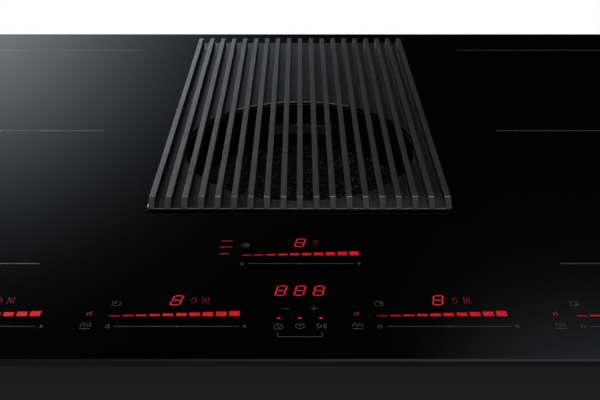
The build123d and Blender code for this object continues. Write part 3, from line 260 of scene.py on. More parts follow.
# %% Arithmetic with nodes
def maths(tree, operation, *values):
    """The result of a Math node on one or two values, each a number or a socket."""
    return add(tree, "Math", enumerate(values), operation=operation).outputs[0]


def product(tree, *values):
    """Several numbers or sockets multiplied."""
    result = values[0]
    for value in values[1:]:
        result = maths(tree, "MULTIPLY", result, value)
    return result


def clamped(tree, value):
    """A value kept between nought and one."""
    return add(tree, "Clamp", {"Value": value}).outputs[0]


# %% Node groups
def new_group(name, output, kind="NodeSocketFloat", **inputs):
    """An empty node group with number inputs and one output. Returns it and what it is given."""
    tree = bpy.data.node_groups.new(name, "ShaderNodeTree")
    for label, value in inputs.items():
        socket = tree.interface.new_socket(
            name=label, in_out="INPUT", socket_type="NodeSocketFloat"
        )
        socket.default_value = value
    tree.interface.new_socket(name=output, in_out="OUTPUT", socket_type=kind)
    return tree, tree.nodes.new("NodeGroupInput").outputs


def close_group(tree, result):
    """Gives a group its result."""
    tree.links.new(result, tree.nodes.new("NodeGroupOutput").inputs[0])
    print("group", tree.name)


# %% Cloudy drift of a finish
drift, given = new_group("cloudy_drift", "Mask", Patch=0.05, Contrast=1.0)
rate = maths(drift, "DIVIDE", 1.0, given["Patch"])
cloud = {"Vector": spot(drift), "Scale": rate, "Detail": 4.0, "Roughness": 0.55}
centred = maths(drift, "SUBTRACT", add(drift, "TexNoise", cloud).outputs["Fac"], 0.5)
stretched = product(drift, centred, given["Contrast"])
close_group(drift, clamped(drift, maths(drift, "ADD", stretched, 0.5)))

# %% Fine grain of moulded plastic and powder coat
grain, given = new_group("fine_grain", "Height", Size=0.0006, Coarse=0.3)
fineness = {"Vector": spot(grain), "Scale": maths(grain, "DIVIDE", 1.0, given["Size"])}
fine = add(grain, "TexNoise", {**fineness, "Detail": 2.0})
cells = add(grain, "TexVoronoi", fineness, feature="SMOOTH_F1")
pebbles = product(grain, cells.outputs["Distance"], given["Coarse"])
close_group(grain, maths(grain, "ADD", fine.outputs["Fac"], pebbles))

# %% Brush lines of rolled or brushed sheet
brush, given = new_group("brush_lines", "Lines", Width=0.0004, Along=60.0)
across = maths(brush, "DIVIDE", 1.0, given["Width"])
along = maths(brush, "DIVIDE", across, given["Along"])
stretch = add(brush, "CombineXYZ", {"X": along, "Y": across, "Z": across})
drawn = add(brush, "Mapping", {"Vector": spot(brush), "Scale": stretch.outputs[0]})
lines = add(brush, "TexNoise", {"Vector": drawn.outputs[0], "Scale": 1.0, "Detail": 3.0})
close_group(brush, lines.outputs["Fac"])

# %% Rubbed edges
rubbed, given = new_group("rubbed_edges", "Mask", Reach=0.0006, Amount=0.6)
normals = {
    0: add(rubbed, "Bevel", {"Radius": given["Reach"]}, samples=4).outputs["Normal"],
    1: add(rubbed, "NewGeometry").outputs["Normal"],
}
facing = add(rubbed, "VectorMath", normals, operation="DOT_PRODUCT").outputs["Value"]
patches = add(rubbed, "TexNoise", {"Vector": spot(rubbed), "Scale": 60.0}).outputs["Fac"]
away = maths(rubbed, "SUBTRACT", 1.0, facing)
close_group(rubbed, clamped(rubbed, product(rubbed, away, 6.0, patches, given["Amount"])))


# %% Dust on what faces up
def axes(tree, vector):
    """The X, Y and Z of a vector."""
    return add(tree, "SeparateXYZ", {0: vector}).outputs


dust, given = new_group("settled_dust", "Mask", Amount=0.1, Speck=0.0008)
rate = maths(dust, "DIVIDE", 0.2, given["Speck"])
specks = add(dust, "TexVoronoi", {"Vector": spot(dust), "Scale": rate}).outputs["Distance"]
film = add(dust, "TexNoise", {"Vector": spot(dust), "Scale": 9.0, "Detail": 5.0}).outputs["Fac"]
layer = maths(dust, "ADD", maths(dust, "LESS_THAN", specks, 0.09), film)
normal = add(dust, "NewGeometry").outputs["Normal"]
upward = maths(dust, "MAXIMUM", axes(dust, normal)["Z"], 0.0)
close_group(dust, clamped(dust, product(dust, layer, given["Amount"], upward)))


# %% Painted light along the grille's front
def ramp(tree, value, low, high, start=0.0, end=1.0):
    """A smooth step from start to end while the value goes from low to high."""
    limits = {"From Min": low, "From Max": high, "To Min": start, "To Max": end}
    inputs = {"Value": value, **limits}
    return add(tree, "MapRange", inputs, interpolation_type="SMOOTHSTEP").outputs[0]


# The mask paints light: it lightens the plate's front strip on the right, where the slats shade the
# plate less.
front_light, given = new_group("painted_front_light", "Mask", Front=0.0, Reach=0.02)
lit_from, lit_full = -0.04, 0.005  # in metres to the right of the middle
at = axes(front_light, spot(front_light))
behind = maths(front_light, "SUBTRACT", at["Y"], given["Front"])
near = ramp(front_light, maths(front_light, "DIVIDE", behind, given["Reach"]), 0.0, 1.0, 1.0, 0.0)
right = ramp(front_light, at["X"], lit_from, lit_full)
close_group(front_light, product(front_light, near, right))

# %% Softened edges
soft, given = new_group("softened_edges", "Normal", "NodeSocketVector", Radius=0.0005)
close_group(soft, add(soft, "Bevel", {"Radius": given["Radius"]}, samples=4).outputs["Normal"])

# %% [markdown]
# ## Starting a finish
# A finish is a Principled shader with its even values on the shader's own sockets. What changes
# over the surface comes from the groups: a mask mixes two colours, slides the roughness between
# two values, or a height feeds a bump.


# %% Colours
def grey(value):
    """A neutral colour."""
    return (value, value, value)


def mixed(tree, mask, first, second):
    """Two colours mixed by a mask. Each is a colour or a socket."""
    ends = [(*end, 1.0) if isinstance(end, tuple) else end for end in (first, second)]
    return add(tree, "Mix", {"Factor": mask, 6: ends[0], 7: ends[1]}, data_type="RGBA").outputs[2]


# %% Tools for finishes
finishes = {}


class Finish:
    """A material being built, with short ways to place groups in it."""

    def __init__(self, name, colour, roughness, metallic=0.0, specular=0.5):
        self.material = bpy.data.materials.new(name)
        self.material.use_nodes = True
        self.material.diffuse_color = (*colour, 1.0)
        self.tree = self.material.node_tree
        self.put("Base Color", (*colour, 1.0))
        self.put("Roughness", roughness)
        self.put("Metallic", metallic)
        self.put("Specular IOR Level", specular)
        finishes[name] = self.material

    def put(self, label, value):
        """Gives the shader's own socket a value or an output socket."""
        feed(self.tree, self.tree.nodes["Principled BSDF"].inputs[label], value)

    def group(self, tree, **values):
        """Places a group with these input values and returns its output."""
        return add(self.tree, "Group", values, node_tree=tree).outputs[0]

    def between(self, mask, low, high):
        """A mask brought between two values."""
        inputs = {"Value": mask, "To Min": low, "To Max": high}
        return add(self.tree, "MapRange", inputs).outputs[0]

    def tint(self, mask, first, second):
        """Mixes the base colour from two colours or sockets by a mask."""
        self.put("Base Color", mixed(self.tree, mask, first, second))

    def dull(self, mask, low, high):
        """Slides the roughness between two values by a mask."""
        self.put("Roughness", self.between(mask, low, high))

    def bump(self, height, distance, edge=0.0):
        """A relief into the shader's normal, on edges that look rounded by edge metres."""
        inputs = {"Height": height, "Distance": distance}
        if edge:
            inputs["Normal"] = self.group(soft, Radius=edge)
        self.put("Normal", add(self.tree, "Bump", inputs).outputs["Normal"])


# %% [markdown]
# ## The black glass
# Ceramic glass is black all through and polished, so nearly all that it shows is reflection. Its
# gloss is not quite even: wiping leaves soft, wide streaks. A wide cloudy mask slides the
# roughness a very little, and a trace of dust greys what faces up.

# %% Ceramic glass
glass_black = (0.0004, 0.0004, 0.0005)
glass = Finish("ceramic_glass", glass_black, 0.03)
wiped = glass.group(drift, Patch=0.11, Contrast=2.2)
glass.dull(wiped, 0.018, 0.05)
glass.tint(glass.group(dust, Amount=0.0012, Speck=0.0009), glass_black, (0.35, 0.35, 0.34))
glass.put("IOR", 1.52)
print("finish", glass.material.name)

# %% [markdown]
# ## The grille's enamel
# The slats and the plate under them are metal with a satin anthracite enamel. It has a very fine
# orange peel and is rubbed a little lighter along the edges, where it is wiped and lifted out.
# The slats' upright sides get a near-black enamel of their own, painted shade, so that the bars
# stand out as clear lines. The same recipe with a coarser peel gives the powder coat of the casing.

# %% Satin enamel
orange_peel, powder_peel = 0.00002, 0.00004


def enamel(
    name, colour, wear_and_highlight, gloss, peel=orange_peel, specular=0.5, index=1.5, edge=0.0003, lit_front=None
):
    """A satin enamel: a cloudy gloss, rubbed edges, a fine peel, and perhaps a front strip of
    painted light.
    """
    coat = Finish(name, colour, sum(gloss) / 2, specular=specular)
    coat.put("IOR", index)
    tone = mixed(coat.tree, coat.group(rubbed, Reach=0.0005, Amount=0.5), colour, wear_and_highlight)
    # Painted light: a lighter strip along the front, where the slats shade the plate less.
    if lit_front:
        lit_strip = coat.group(front_light, Front=grille_y[0] * MM, Reach=0.03)
        tone = mixed(coat.tree, lit_strip, tone, lit_front)
    coat.tint(coat.group(dust, Amount=0.006, Speck=0.0008), tone, (0.30, 0.30, 0.29))
    coat.dull(coat.group(drift, Patch=0.02, Contrast=1.6), *gloss)
    if peel:
        coat.bump(coat.group(grain, Size=0.0009, Coarse=0.2), peel, edge)
    return coat.material


slat_finish = enamel(
    "slat_enamel", (0.012, 0.0122, 0.0126), grey(0.032), (0.26, 0.32), peel=0.0, index=2.15
)
# A light enamel for two stretches of the plate's arris: a painted highlight, the bright line where
# the arris catches the light.
highlight_finish = enamel("painted_highlight_enamel", (0.125, 0.125, 0.127), grey(0.15), (0.35, 0.45), peel=0.0)
# A near-black enamel, painted shade: it goes on the slats' upright sides and on most of the mouth's
# rim.
shade_black, shade_gloss = (0.003, 0.003, 0.0032), (0.5, 0.6)
painted_shade_finish = enamel(
    "slat_side_painted_shade", shade_black, grey(0.01), shade_gloss, specular=0.08, index=1.4, edge=0.0
)
# The plate's second colour is the painted light of its front strip.
plate_black, plate_lit_front = (0.004, 0.004, 0.0042), (0.017, 0.017, 0.0175)
plate_finish = enamel(
    "plate_enamel", plate_black, grey(0.08), (0.20, 0.27), index=1.6, edge=0.0, lit_front=plate_lit_front
)
basket_finish = enamel("basket_enamel", (0.004, 0.004, 0.0045), grey(0.02), (0.28, 0.40))
coat_gloss = (0.48, 0.60)
casing_finish = enamel(
    "powder_coat", (0.021, 0.0214, 0.022), grey(0.08), coat_gloss, powder_peel, specular=0.25
)
# A lighter copy of the casing's coat for the bottom plates: painted light in the shade under the
# part.
lit_bottom_finish = enamel(
    "bottom_coat_painted_light", (0.055, 0.056, 0.058), grey(0.13), coat_gloss, powder_peel, specular=0.4
)
print("enamels and coats done,", len(finishes), "finishes so far")

# %% [markdown]
# ## Moulded plastics
# Ducts, tray and frames are moulded with a fine spark-eroded grain. The same recipe serves them
# all with other colours: a grain height for the bump, a cloudy roughness and rubbed corners.


# %% Moulded plastic
def moulded(name, colour, gloss=(0.45, 0.58), size=0.0007, relief=0.00005):
    """A moulded plastic with a spark-eroded grain."""
    plastic = Finish(name, colour, sum(gloss) / 2)
    lighter = tuple(min(1.0, c * 1.5 + 0.02) for c in colour)
    tone = mixed(plastic.tree, plastic.group(rubbed, Reach=0.0008, Amount=0.4), colour, lighter)
    plastic.tint(plastic.group(dust, Amount=0.03, Speck=0.001), tone, (0.42, 0.41, 0.39))
    plastic.dull(plastic.group(drift, Patch=0.03, Contrast=1.5), *gloss)
    plastic.bump(plastic.group(grain, Size=size, Coarse=0.5), relief, 0.0006)
    return plastic.material


duct_finish = moulded("duct_plastic", (0.085, 0.088, 0.093))
frame_finish = moulded("frame_plastic", (0.006, 0.006, 0.0065), (0.42, 0.52))
light_finish = moulded("light_plastic", (0.52, 0.52, 0.50), (0.38, 0.50))
grip_finish = moulded("grip_plastic", (0.05, 0.053, 0.054), (0.65, 0.75))
sensor_finish = moulded("sensor_plastic", (0.78, 0.78, 0.74), (0.40, 0.50))
package_finish = moulded("package_plastic", (0.022, 0.022, 0.023), (0.34, 0.46), 0.0005, 0.00003)
shell_finish = moulded("capacitor_shell", (0.36, 0.05, 0.035), (0.16, 0.26), 0.004, 0.00003)
lens_finish = moulded("digit_lens", (0.055, 0.012, 0.012), (0.12, 0.20), 0.003, 0.00001)
print("plastics done,", len(finishes), "finishes so far")

# %% [markdown]
# ## Rubber and foam
# Silicone feet, gaskets and dampers are matt with a soft bloom. The sealing tape is a foam with
# open pores, so its grain is larger and deeper.

# %% Rubber and foam
rubber = Finish("silicone", (0.055, 0.055, 0.057), 0.78, specular=0.3)
bloom = rubber.group(drift, Patch=0.012, Contrast=1.8)
rubber.tint(bloom, (0.045, 0.045, 0.047), (0.085, 0.085, 0.088))
rubber.bump(rubber.group(grain, Size=0.0005, Coarse=0.2), 0.00004)
foam = Finish("foam_tape", grey(0.012), 0.95, specular=0.15)
pores = foam.group(grain, Size=0.0012, Coarse=1.0)
foam.tint(pores, grey(0.006), grey(0.022))
foam.bump(pores, 0.0003)
print("finish", rubber.material.name, "and", foam.material.name)

# %% [markdown]
# ## Metals
# Zinc plate has a fine cloudy spangle, spring steel and the aluminium sheets show the lines of
# rolling, and the motor's core is a stack of thin dark sheets, seen as fine level lines. A few
# cells of the filter's net get a bright colour: painted glints. Ferrite is a chipped grey ceramic.


# %% Sheet and bar metals
def metal(name, colour, dark, gloss, width=0.0004, along=60.0):
    """A bare metal with brush lines and a cloudy tone."""
    bare = Finish(name, colour, sum(gloss) / 2, metallic=1.0)
    tone = mixed(bare.tree, bare.group(drift, Patch=0.018, Contrast=1.7), dark, colour)
    bare.tint(bare.group(dust, Amount=0.02, Speck=0.001), tone, (0.45, 0.45, 0.43))
    rolled = bare.group(brush, Width=width, Along=along)
    bare.dull(rolled, *gloss)
    bare.bump(rolled, 0.00001, 0.0003)
    return bare.material


zinc_finish = metal("zinc_plate", (0.60, 0.61, 0.62), (0.46, 0.47, 0.49), (0.26, 0.44), 0.0012, 1.5)
spring_finish = metal("spring_steel", grey(0.66), (0.52, 0.52, 0.53), (0.22, 0.38))
sheet_finish = metal(
    "rolled_aluminium", (0.76, 0.77, 0.78), (0.66, 0.67, 0.69), (0.28, 0.46), 0.0005, 90.0
)
bronze_finish = metal("bronze", (0.60, 0.42, 0.22), (0.44, 0.29, 0.14), (0.24, 0.36), 0.0006, 3.0)

# %% Net, core and ferrite
net = Finish("filter_net", grey(0.05), 0.35, metallic=1.0)
# Painted glints: random cells of the net get a bright, glossier colour, as if they caught the
# light.
painted_glints = add(net.tree, "TexVoronoi", {"Vector": spot(net.tree), "Scale": 1500.0})
lot = axes(net.tree, painted_glints.outputs["Color"])["X"]
bright = maths(net.tree, "GREATER_THAN", lot, 0.93)
net.tint(bright, (0.035, 0.035, 0.036), (0.60, 0.61, 0.63))
net.dull(bright, 0.42, 0.30)
core = Finish("stacked_core", (0.20, 0.20, 0.21), 0.55, metallic=0.6)
stack = {"Vector": spot(core.tree), "Scale": 300.0}
sheets = add(core.tree, "TexWave", stack, bands_direction="Z").outputs["Fac"]
core.tint(sheets, (0.10, 0.10, 0.105), (0.24, 0.24, 0.25))
core.bump(sheets, 0.0001)
ferrite_grey = (0.06, 0.06, 0.065)
ferrite = Finish("sintered_ferrite", ferrite_grey, 0.6, metallic=0.3)
ferrite.bump(ferrite.group(grain, Size=0.0008, Coarse=0.8), 0.00008)
chips = ferrite.group(rubbed, Reach=0.0008, Amount=0.8)
ferrite.tint(chips, ferrite_grey, (0.15, 0.15, 0.16))
print("metals done,", len(finishes), "finishes so far")

# %% [markdown]
# ## Coils, mica and boards
# A coil is one long strand of litz wire wound flat, so its rings are centred on its own zone. The
# four zones lie mirrored about one point: the distance to the nearest centre comes from the
# absolute values of the coordinates about that point. Mica sheets are flaky and warm, and circuit
# boards are green with faint square tracks.

# %% Wound litz wire
coil_r, turn_rate = 0.088, 2600.0
coil_low, coil_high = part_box("coil_windings")
coil_mid_y = (coil_low.y + coil_high.y) / 2
coil_x = coil_high.x - coil_r
coil_y = coil_high.y - coil_mid_y - coil_r
litz = Finish("litz_wire", (0.50, 0.22, 0.10), 0.38, metallic=0.7)
tree = litz.tree
at = axes(tree, spot(tree))
from_mid = maths(tree, "SUBTRACT", at["Y"], coil_mid_y)
squares = []
for value, centre in ((at["X"], coil_x), (from_mid, coil_y)):
    off = maths(tree, "SUBTRACT", maths(tree, "ABSOLUTE", value), centre)
    squares.append(maths(tree, "POWER", off, 2.0))
distance = maths(tree, "SQRT", maths(tree, "ADD", *squares))
turns = maths(tree, "SINE", product(tree, distance, turn_rate))
ridge = litz.between(turns, 0.0, 1.0)
litz.tint(ridge, (0.16, 0.06, 0.03), (0.62, 0.30, 0.15))
litz.bump(ridge, 0.0004)
print("litz rings about %.4f, %.4f m" % (coil_x, coil_y))

# %% Mica and boards
mica = Finish("pressed_mica", (0.62, 0.55, 0.38), 0.5)
flakes = mica.group(drift, Patch=0.006, Contrast=2.4)
mica.tint(flakes, (0.50, 0.43, 0.28), (0.74, 0.67, 0.50))
mica.dull(flakes, 0.3, 0.6)
board = Finish("circuit_board", (0.02, 0.13, 0.06), 0.35)
grid = {"Vector": spot(board.tree), "Scale": 90.0, "Mortar Size": 0.04}
tracks = add(board.tree, "TexBrick", grid).outputs["Fac"]
board.tint(tracks, (0.015, 0.11, 0.05), (0.03, 0.20, 0.10))
board.bump(tracks, 0.00005)
print("finish", mica.material.name, "and", board.material.name)

# %% [markdown]
# ## Ink and light
# The zone lines and scales are a fired ceramic ink, matt and faintly speckled. The red digits and
# bars are light sources under the glass. A lit segment is brightest in its middle, which a little
# cloudy change of its emission colour gives.


# %% Fired ink and lit segments
def fired(name, dark, light):
    """A fired ceramic ink: matt and faintly speckled."""
    enamelled = Finish(name, light, 0.5, specular=0.1)
    speckle = enamelled.group(drift, Patch=0.0012, Contrast=2.0)
    enamelled.tint(speckle, dark, light)
    return enamelled.material


def lit(name, deep, bright):
    """A segment lit from below."""
    glow = Finish(name, (0.02, 0.0, 0.0), 0.25)
    cloudy = glow.group(drift, Patch=0.003, Contrast=2.0)
    glow.put("Emission Color", mixed(glow.tree, cloudy, deep, bright))
    glow.put("Emission Strength", 1.0)
    return glow.material


line_ink = fired("zone_ink", grey(0.030), grey(0.048))
scale_ink = fired("scale_ink", grey(0.034), grey(0.058))
lit_red = lit("lit_red", (0.40, 0.0, 0.008), (0.64, 0.012, 0.02))
digit_red = lit("digit_red", (0.44, 0.005, 0.013), (0.74, 0.028, 0.043))
dim_red = lit("dim_red", (0.10, 0.003, 0.006), (0.19, 0.012, 0.018))
print("inks and lights done,", len(finishes), "finishes in all")

# %% [markdown]
# ## Dressing the solids
# The record names a material slot for each solid. One table says which finish stands for which
# slot, so no solid can be forgotten: an unknown slot would stop the script. Only the casing's
# bottom plates differ from their slot: they are the same coat in a lighter grey, painted light
# that lifts the shade under the part.

# %% Finishes on the solids
finish_of_slot = {
    "glass_black": glass.material,
    "foam_black": foam.material,
    "plate_black": plate_finish,
    "slat_black": slat_finish,
    "rubber_grey": rubber.material,
    "frame_black": frame_finish,
    "basket_black": basket_finish,
    "mesh_metal": net.material,
    "grip_grey": grip_finish,
    "plastic_dark": duct_finish,
    "plastic_light": light_finish,
    "steel_zinc": zinc_finish,
    "steel_bright": spring_finish,
    "core_steel": core.material,
    "aluminium_sheet": sheet_finish,
    "bronze": bronze_finish,
    "casing_dark": casing_finish,
    "mica": mica.material,
    "ferrite": ferrite.material,
    "sensor_body": sensor_finish,
    "component_black": package_finish,
    "capacitor_shell": shell_finish,
    "copper_wire": litz.material,
    "board_green": board.material,
    "digit_lens": lens_finish,
}
for part in frame["record"]["subparts"]:
    mesh = nodes[part["node"]].data
    mesh.materials.clear()
    mesh.materials.append(finish_of_slot[part["material_slot"]])
# The bottom plates take the lighter copy of the coat, painted light for the shade under the part.
nodes["casing_floor_plates"].data.materials[0] = lit_bottom_finish

# %% [markdown]
# ## The slats
# Nineteen bars run from front to back. Each starts as a box; its upper front edge is pushed back
# into a slope, and its upper edges are rounded a very little. The brow, where the slope meets the
# top, gets a wider rounding that catches the light. The upright sides get the mesh's second
# material, a near-black enamel that paints shade on them.

# %% Rounded edges
rounded_metal = {"crease": 50.0, "flats": True}


def bevelled(shape, parts, offset, segments=2, affect="EDGES"):
    """Rounds edges, or the corner points of an outline with affect="VERTICES"."""
    bmesh.ops.bevel(
        shape, geom=parts, offset=offset, segments=segments, profile=0.5, affect=affect, material=-1
    )


# %% Slats
slat_count, slat_w, slat_slope, slat_round, brow_round = 19, 4.0, 8.0, 0.1, 0.6
slat_x = span("grille_slats", 0)
slat_pitch = (slat_x[1] - slat_x[0] - slat_w) / (slat_count - 1)
brow_y = slats_y[0] + slat_slope
shaded_side_tilt = 0.3


def on_brow(edge, near, depth):
    """Whether an edge lies where the slope meets the top."""
    return all(abs(v.co.y - brow_y) < near and v.co.z > slat_top - depth for v in edge.verts)


bars = bmesh.new()
for order in range(slat_count):
    left = slat_x[0] + order * slat_pitch
    corners = block(bars, (left, left + slat_w), slats_y, (plate_top, slat_top))
    front_top = [v for v in corners if v.co.z > plate_top + 1 and v.co.y < slats_y[0] + 1]
    bmesh.ops.translate(bars, vec=(0, slat_slope, 0), verts=front_top)
upper = [e for e in bars.edges if max(v.co.z for v in e.verts) > plate_top + 1]
bevelled(bars, [e for e in upper if not on_brow(e, 0.01, 0.01)], slat_round)
brow = [e for e in bars.edges if on_brow(e, 0.05, 0.2) and e.calc_length() > slat_w / 2]
bevelled(bars, brow, brow_round, 3)
bars.normal_update()
# Faces that lean sideways get the near-black second material: painted shade on the slats' sides.
for face in bars.faces:
    face.material_index = int(abs(face.normal.x) > shaded_side_tilt)
print("slats with", len(brow), "rounded brows")
slat_coats = [slat_finish, painted_shade_finish]
finished(bars, "slat_bars", slat_coats, "grille", "slat_black", ["grille_slats"], **rounded_metal)

# %% [markdown]
# ## The plate with the round mouth
# A sheet with a hole is two closed outlines with the space between them filled. The outer outline
# is a rectangle whose corners are rounded by a bevel of its corner points. The filled face is
# extruded to the sheet's thickness, and both rims get a small round arris. Two stretches of arris
# get a light enamel, a painted highlight: behind the filter's grip, where a fine bright arc shows
# between the slats, and along the front. The rest of the mouth's rim gets the near-black enamel,
# painted shade that keeps it from catching the light.

# %% Plate
mouth_r, plate_corner = 85.6, 3.0
plate_size = (grille_x[1] - grille_x[0], grille_y[1] - grille_y[0], 1)
sheet = bmesh.new()
rim = bmesh.ops.create_grid(sheet, x_segments=1, y_segments=1, size=0.5)["verts"]
bmesh.ops.delete(sheet, geom=list(sheet.faces), context="FACES_ONLY")
bmesh.ops.scale(sheet, vec=plate_size, verts=rim)
bmesh.ops.translate(sheet, vec=(0, sum(grille_y) / 2, plate_low), verts=rim)
bevelled(sheet, rim, plate_corner, 6, "VERTICES")
around = bmesh.ops.create_circle(sheet, segments=144, radius=mouth_r)["verts"]
bmesh.ops.translate(sheet, vec=(0, mouth_y, plate_low), verts=around)
bmesh.ops.triangle_fill(sheet, edges=list(sheet.edges), use_beauty=True, use_dissolve=False)
raised = bmesh.ops.extrude_face_region(sheet, geom=list(sheet.faces), use_keep_orig=True)
lifted = [g for g in raised["geom"] if isinstance(g, bmesh.types.BMVert)]
bmesh.ops.translate(sheet, vec=(0, 0, plate_top - plate_low), verts=lifted)
bmesh.ops.recalc_face_normals(sheet, faces=list(sheet.faces))
print("plate of", len(sheet.faces), "faces before its edges are rounded")

# %% Arrises of the plate
coated, wear_and_highlight, shaded_rim = 0, 1, 2
outer_round, mouth_round = 0.35, 0.6
leaning, highlight_arc = (0.1, 0.97), (-0.62, 0.45)


def from_mouth(point):
    """The way to a point from the mouth's axis, seen from above."""
    return Vector((point.x, point.y - mouth_y))


arris = [e for e in sheet.edges if len(e.link_faces) == 2 and e.calc_face_angle() > radians(60)]
mouth_edges = [
    e
    for e in arris
    if all(v.co.z > plate_top - 0.01 and from_mouth(v.co).length < mouth_r + 0.2 for v in e.verts)
]
bevelled(sheet, [e for e in arris if e not in mouth_edges], outer_round)
bevelled(sheet, [e for e in mouth_edges if e.is_valid], mouth_round)
sheet.normal_update()
for face in sheet.faces:
    middle = face.calc_center_median()
    out = from_mouth(middle)
    in_mouth = out.length < mouth_r + 0.7
    by_grip = in_mouth and out.y > 0 and highlight_arc[0] < out.x / mouth_r < highlight_arc[1]
    at_front = middle.y < grille_y[0] + 0.5
    # Leaning arris faces: a painted highlight behind the grip and along the front, painted shade on
    # the rest of the mouth's rim.
    if leaning[0] < face.normal.z < leaning[1]:
        face.material_index = wear_and_highlight if by_grip or at_front else shaded_rim if in_mouth else coated
coats = [plate_finish, highlight_finish, painted_shade_finish]
finished(sheet, "mouth_plate", coats, "grille", "plate_black", ["grille_plate"], **rounded_metal)

# %% [markdown]
# ## The filter
# The basket is a turned shell: one closed outline, with its corner points rounded, spun about the
# mouth's axis. The grip on its back wall is the same kind of outline, spun through a short arc.
# Its upper side gets the basket's black, painted shade on the faces that look up.


# %% Turned shapes
def turned(shape, outline, rounding, start, sweep, steps):
    """Spins a closed outline of (radius, level) points about the mouth's axis."""
    points = [shape.verts.new((r, 0, z)) for r, z in outline]
    shape.faces.new(points)
    bevelled(shape, points, rounding, affect="VERTICES")
    rotated(shape, start, "Z", shape.verts)
    bmesh.ops.translate(shape, vec=(0, mouth_y, 0), verts=shape.verts)
    spun(shape, [*shape.verts, *shape.edges, *shape.faces], (0, mouth_y), sweep, steps)
    if abs(sweep) >= 360:
        inner = [f for f in shape.faces if all(len(e.link_faces) > 2 for e in f.edges)]
        bmesh.ops.delete(shape, geom=inner, context="FACES_ONLY")
        bmesh.ops.remove_doubles(shape, verts=shape.verts, dist=0.0001)
    bmesh.ops.recalc_face_normals(shape, faces=list(shape.faces))


# %% Basket
basket_r, basket_wall, rim_w, rim_t, lip_w = 84.5, 2.0, 3.0, 1.5, 4.5
outer_r = basket_r + basket_wall
outline = [
    (basket_r, basket_top),
    (outer_r + rim_w, basket_top),
    (outer_r + rim_w, basket_top - rim_t),
    (outer_r, basket_top - rim_t),
    (outer_r, basket_low),
    (basket_r - lip_w, basket_low),
    (basket_r - lip_w, mesh_low),
    (basket_r, mesh_low),
]
wall = bmesh.new()
turned(wall, outline, rounding=0.4, start=0, sweep=360, steps=144)
black = [basket_finish]
finished(wall, "basket_wall", black, "filter", "basket_black", ["filter_basket"], **rounded_metal)

# %% Grip
grip_low, grip_top = span("filter_grip", 2)
grip_reach, grip_wall, grip_half, level_enough = 8.0, 2.5, 20.2, 0.5
lip_r = basket_r - grip_reach
outline = [
    (basket_r, grip_top),
    (lip_r, grip_top),
    (lip_r, grip_low),
    (lip_r + grip_wall, grip_low),
    (lip_r + grip_wall, grip_top - grip_wall),
    (basket_r, grip_top - grip_wall),
]
ledge = bmesh.new()
turned(ledge, outline, rounding=0.5, start=90 - grip_half, sweep=2 * grip_half, steps=28)
ledge.normal_update()
# Faces that look up get the basket's black: painted shade on the grip's upper side.
for face in ledge.faces:
    face.material_index = int(face.normal.z > level_enough)
grip_coats = [grip_finish, basket_finish]
finished(ledge, "grip_ledge", grip_coats, "filter", "grip_grey", ["filter_grip"], **rounded_metal)

# %% [markdown]
# ## The filter's net
# The floor of the filter is expanded metal: a sheet slit and stretched into small diamonds. Two
# layers lie crosswise, which gives the restless glitter in the mouth. A grid turned by half a
# right angle gives the diamonds, and the wireframe operator turns each grid line into a strand.

# %% Net
net_cell, net_strand, net_r = 3.0, 0.5, basket_r - 0.6


def absorb(shape, mesh):
    """Adds a mesh to the shape and removes the mesh."""
    shape.from_mesh(mesh)
    bpy.data.meshes.remove(mesh)


def net_layer(shape, stretched, level):
    """Adds one layer of diamonds, cut to the basket's round floor."""
    count = int(2.4 * net_r / net_cell)
    layer = bmesh.new()
    half = count * net_cell / 2
    bmesh.ops.create_grid(layer, x_segments=count, y_segments=count, size=half)
    rotated(layer, 45, "Z", layer.verts)
    bmesh.ops.scale(layer, vec=stretched, verts=layer.verts)
    far = [f for f in layer.faces if max(v.co.length for v in f.verts) > net_r]
    bmesh.ops.delete(layer, geom=far, context="FACES")
    bmesh.ops.wireframe(
        layer,
        faces=list(layer.faces),
        thickness=net_strand,
        offset=0.0,
        use_replace=True,
        use_boundary=True,
        use_even_offset=True,
        use_relative_offset=False,
        material_offset=0,
    )
    bmesh.ops.translate(layer, vec=(0, mouth_y, level), verts=layer.verts)
    absorb(shape, meshed(layer, "net_layer"))


weave = bmesh.new()
net_layer(weave, (1.25, 0.8, 1.0), mesh_top - 0.35)
net_layer(weave, (0.8, 1.25, 1.0), mesh_top - 0.85)
finished(weave, "filter_net", [net.material], "filter", "mesh_metal", ["filter_mesh"], crease=60.0)

# %% [markdown]
# ## The printed zones
# Each side has two square zones that share their middle line. Only the level lines are printed,
# one millimetre thick.

# %% Zone lines
zone_ys, zone_xs, half_line = (-171.9, 18.4, 209.3), (152.8, 368.0), 0.5
zones = bmesh.new()
for side in (-1, 1):
    for y in zone_ys:
        ends = sorted(side * x for x in zone_xs)
        block(zones, ends, (y - half_line, y + half_line), ink)
finished(zones, "zone_lines", [line_ink], "hob", "print_grey")

# %% [markdown]
# ## Small numbers
# A number is built as a text object with Blender's own font, made a mesh, and only then put in
# its place in the print.

# %% Numbers
cap_height = 0.73


def number(shape, text, x, y, height):
    """Adds a printed number whose lower left corner is (x, y)."""
    letters = bpy.data.curves.new("number", "FONT")
    letters.body = text
    letters.size = height / cap_height
    letters.resolution_u = 3
    letters.extrude = ink_height / 2
    writing = linked("number", letters)
    bpy.context.view_layer.update()
    flat = bpy.data.meshes.new_from_object(writing)
    bpy.data.objects.remove(writing)
    bpy.data.curves.remove(letters)
    flat.transform(Matrix.Translation((x, y, sum(ink) / 2)))
    absorb(shape, flat)


def zero(shape, x, y):
    """A printed nought: two half rings joined by short strokes."""
    low, high = y + 1.1, y + 1.9
    for level, start in ((high, 0), (low, 180)):
        arc(shape, (x + 1.1, level), 0.95, pen, start, 180, 10)
    for side in (0.15, 2.05):
        stroke(shape, (x + side, low), (x + side, high), pen)


